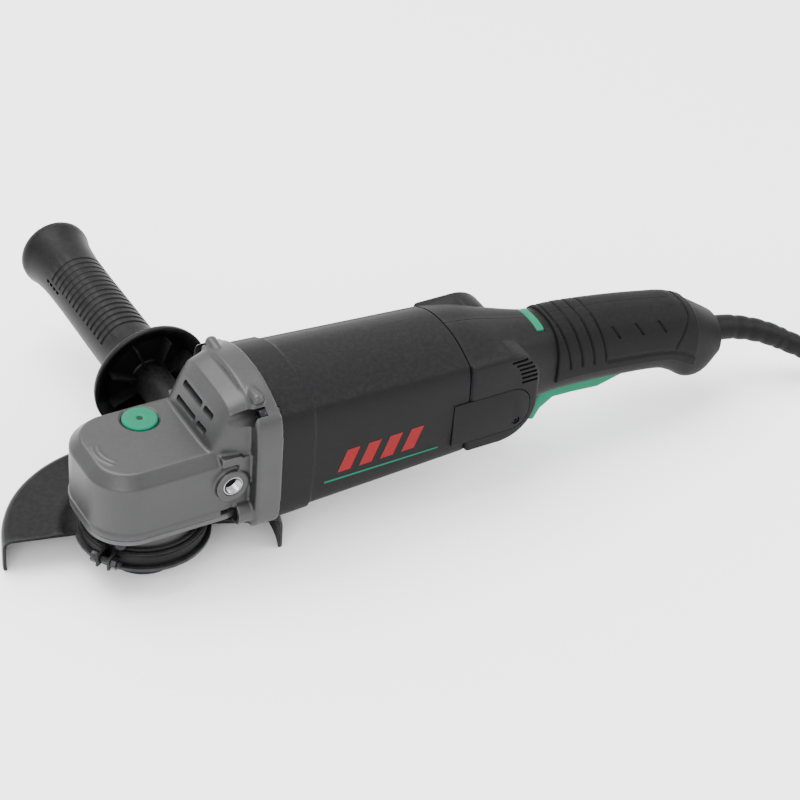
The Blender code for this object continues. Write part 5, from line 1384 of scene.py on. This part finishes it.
def make_rib_tree():
    """Rings side by side along the object's Y axis, all of the one radius given by Radius."""
    tree, start, end = new_group(
        "rib_row",
        [("Geometry", "NodeSocketGeometry", None), ("Count", "NodeSocketInt", 14),
         ("Spacing", "NodeSocketFloat", 0.005), ("Radius", "NodeSocketFloat", 0.017),
         ("Rib Radius", "NodeSocketFloat", 0.001), ("Finish", "NodeSocketMaterial", None)],
        [("Geometry", "NodeSocketGeometry")], "GeometryNodeTree")
    link = tree.links.new
    ring = new_node(tree, "GeometryNodeCurvePrimitiveCircle", Resolution=72)
    link(start.outputs["Radius"], ring.inputs["Radius"])
    section = new_node(tree, "GeometryNodeCurvePrimitiveCircle", Resolution=10)
    link(start.outputs["Rib Radius"], section.inputs["Radius"])
    rib = new_node(tree, "GeometryNodeCurveToMesh")
    link(ring.outputs["Curve"], rib.inputs["Curve"])
    link(section.outputs["Curve"], rib.inputs["Profile Curve"])
    upright = new_node(tree, "GeometryNodeTransform")
    upright.inputs["Rotation"].default_value = (math.pi / 2, 0, 0)
    link(rib.outputs["Mesh"], upright.inputs["Geometry"])
    step = new_node(tree, "ShaderNodeCombineXYZ")
    link(start.outputs["Spacing"], step.inputs["Y"])
    line = new_node(tree, "GeometryNodeMeshLine", mode="OFFSET")
    link(start.outputs["Count"], line.inputs["Count"])
    link(step.outputs[0], line.inputs["Offset"])
    placed = new_node(tree, "GeometryNodeInstanceOnPoints")
    link(line.outputs["Mesh"], placed.inputs["Points"])
    link(upright.outputs["Geometry"], placed.inputs["Instance"])
    real = new_node(tree, "GeometryNodeRealizeInstances")
    link(placed.outputs["Instances"], real.inputs["Geometry"])
    dressed = new_node(tree, "GeometryNodeSetMaterial")
    link(real.outputs["Geometry"], dressed.inputs["Geometry"])
    link(start.outputs["Finish"], dressed.inputs["Material"])
    link(dressed.outputs["Geometry"], end.inputs["Geometry"])
    return tree


rib_row = make_rib_tree()
handle_black = skin_look("handle_black", (0.0015, 0.0015, 0.0016), 0.46, grain=0.0007, depth=0.00003,
                         tone=0.12,
                         wear=0.12, worn=(0.09, 0.09, 0.09), dust=0.03)
grip_axis = (0.036, 0, 0.0611)
grip_profile = (
    (0.0053, 0.0363), (0.0100, 0.0363), (0.0105, 0.0368), (0.0105, 0.0700), (0.0112, 0.0708),
    (0.0235, 0.0726),
    (0.0290, 0.0700), (0.0322, 0.0674), (0.0332, 0.0670), (0.0340, 0.0674), (0.0342, 0.0684),
    (0.0336, 0.0704), (0.0310, 0.0734), (0.0280, 0.0759), (0.0245, 0.0786), (0.0210, 0.0808),
    (0.0190, 0.0822), (0.0180, 0.0850), (0.0176, 0.0934), (0.0175, 0.1200), (0.0172, 0.1560),
    (0.0174, 0.1750),
    (0.0180, 0.1850), (0.0190, 0.1930), (0.0200, 0.1975), (0.0207, 0.1998), (0.0208, 0.2015),
    (0.0206, 0.2035),
    (0.0198, 0.2050), (0.0180, 0.2058), (0.0120, 0.2060), (0, 0.2060), (0, 0.0543), (0.0053, 0.0543))
side_grip = turned("side_grip_moulding", grip_profile, "Y", grip_axis, 96, handle_black, angle=26)
rib_cutters = grown("rib_cutters", rib_row, [(0, 0, 0)], Count=15, Spacing=0.0049, Radius=0.0178,
                    Rib_Radius=0.00115, Finish=handle_black)
rib_cutters.data.transform(Matrix.Translation((grip_axis[0], 0.1000, grip_axis[2])))
rib_limit = block("rib_limit", (0.0200, 0.0900, grip_axis[2] + 0.0040), (0.0700, 0.1800, 0.0900))
keep = rib_cutters.modifiers.new("keep", "BOOLEAN")
keep.operation = "INTERSECT"
keep.solver = "EXACT"
keep.object = rib_limit
applied(rib_cutters)
bpy.data.objects.remove(rib_limit)
grip_tools = [rib_cutters]
for groove_number in range(4):
    slanted = rod("slant", 0.0009, -0.0110, 0.0110, "X", steps=16)
    slanted.data.transform(Matrix.Translation((grip_axis[0] - 0.0176, 0.158 + 0.0044 * groove_number,
                                               grip_axis[2] + 0.0040))
                           @ Matrix.Rotation(math.radians(64), 4,
                                             "Z") @ Matrix.Rotation(math.radians(8), 4, "Y"))
    grip_tools.append(slanted)
cut(side_grip, grip_tools)
side_grip.data.materials.clear()
side_grip.data.materials.append(handle_black)
side_grip.data.shade_smooth()
side_grip.data.set_sharp_from_angle(angle=math.radians(30))
web_pieces = []
for web in range(8):
    web_turn = math.tau * (web + 0.5) / 8
    web_piece = block("web", (0.0100, 0.0640, -0.0006), (0.0262, 0.0724, 0.0006))
    web_piece.data.transform(Matrix.Translation((grip_axis[0], 0, grip_axis[2]))
                             @ Matrix.Rotation(web_turn, 4, "Y"))
    web_pieces.append(web_piece)
cut(side_grip, web_pieces, "UNION")
side_grip.data.set_sharp_from_angle(angle=math.radians(30))
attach(side_grip, "casing")
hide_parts("side_handle")
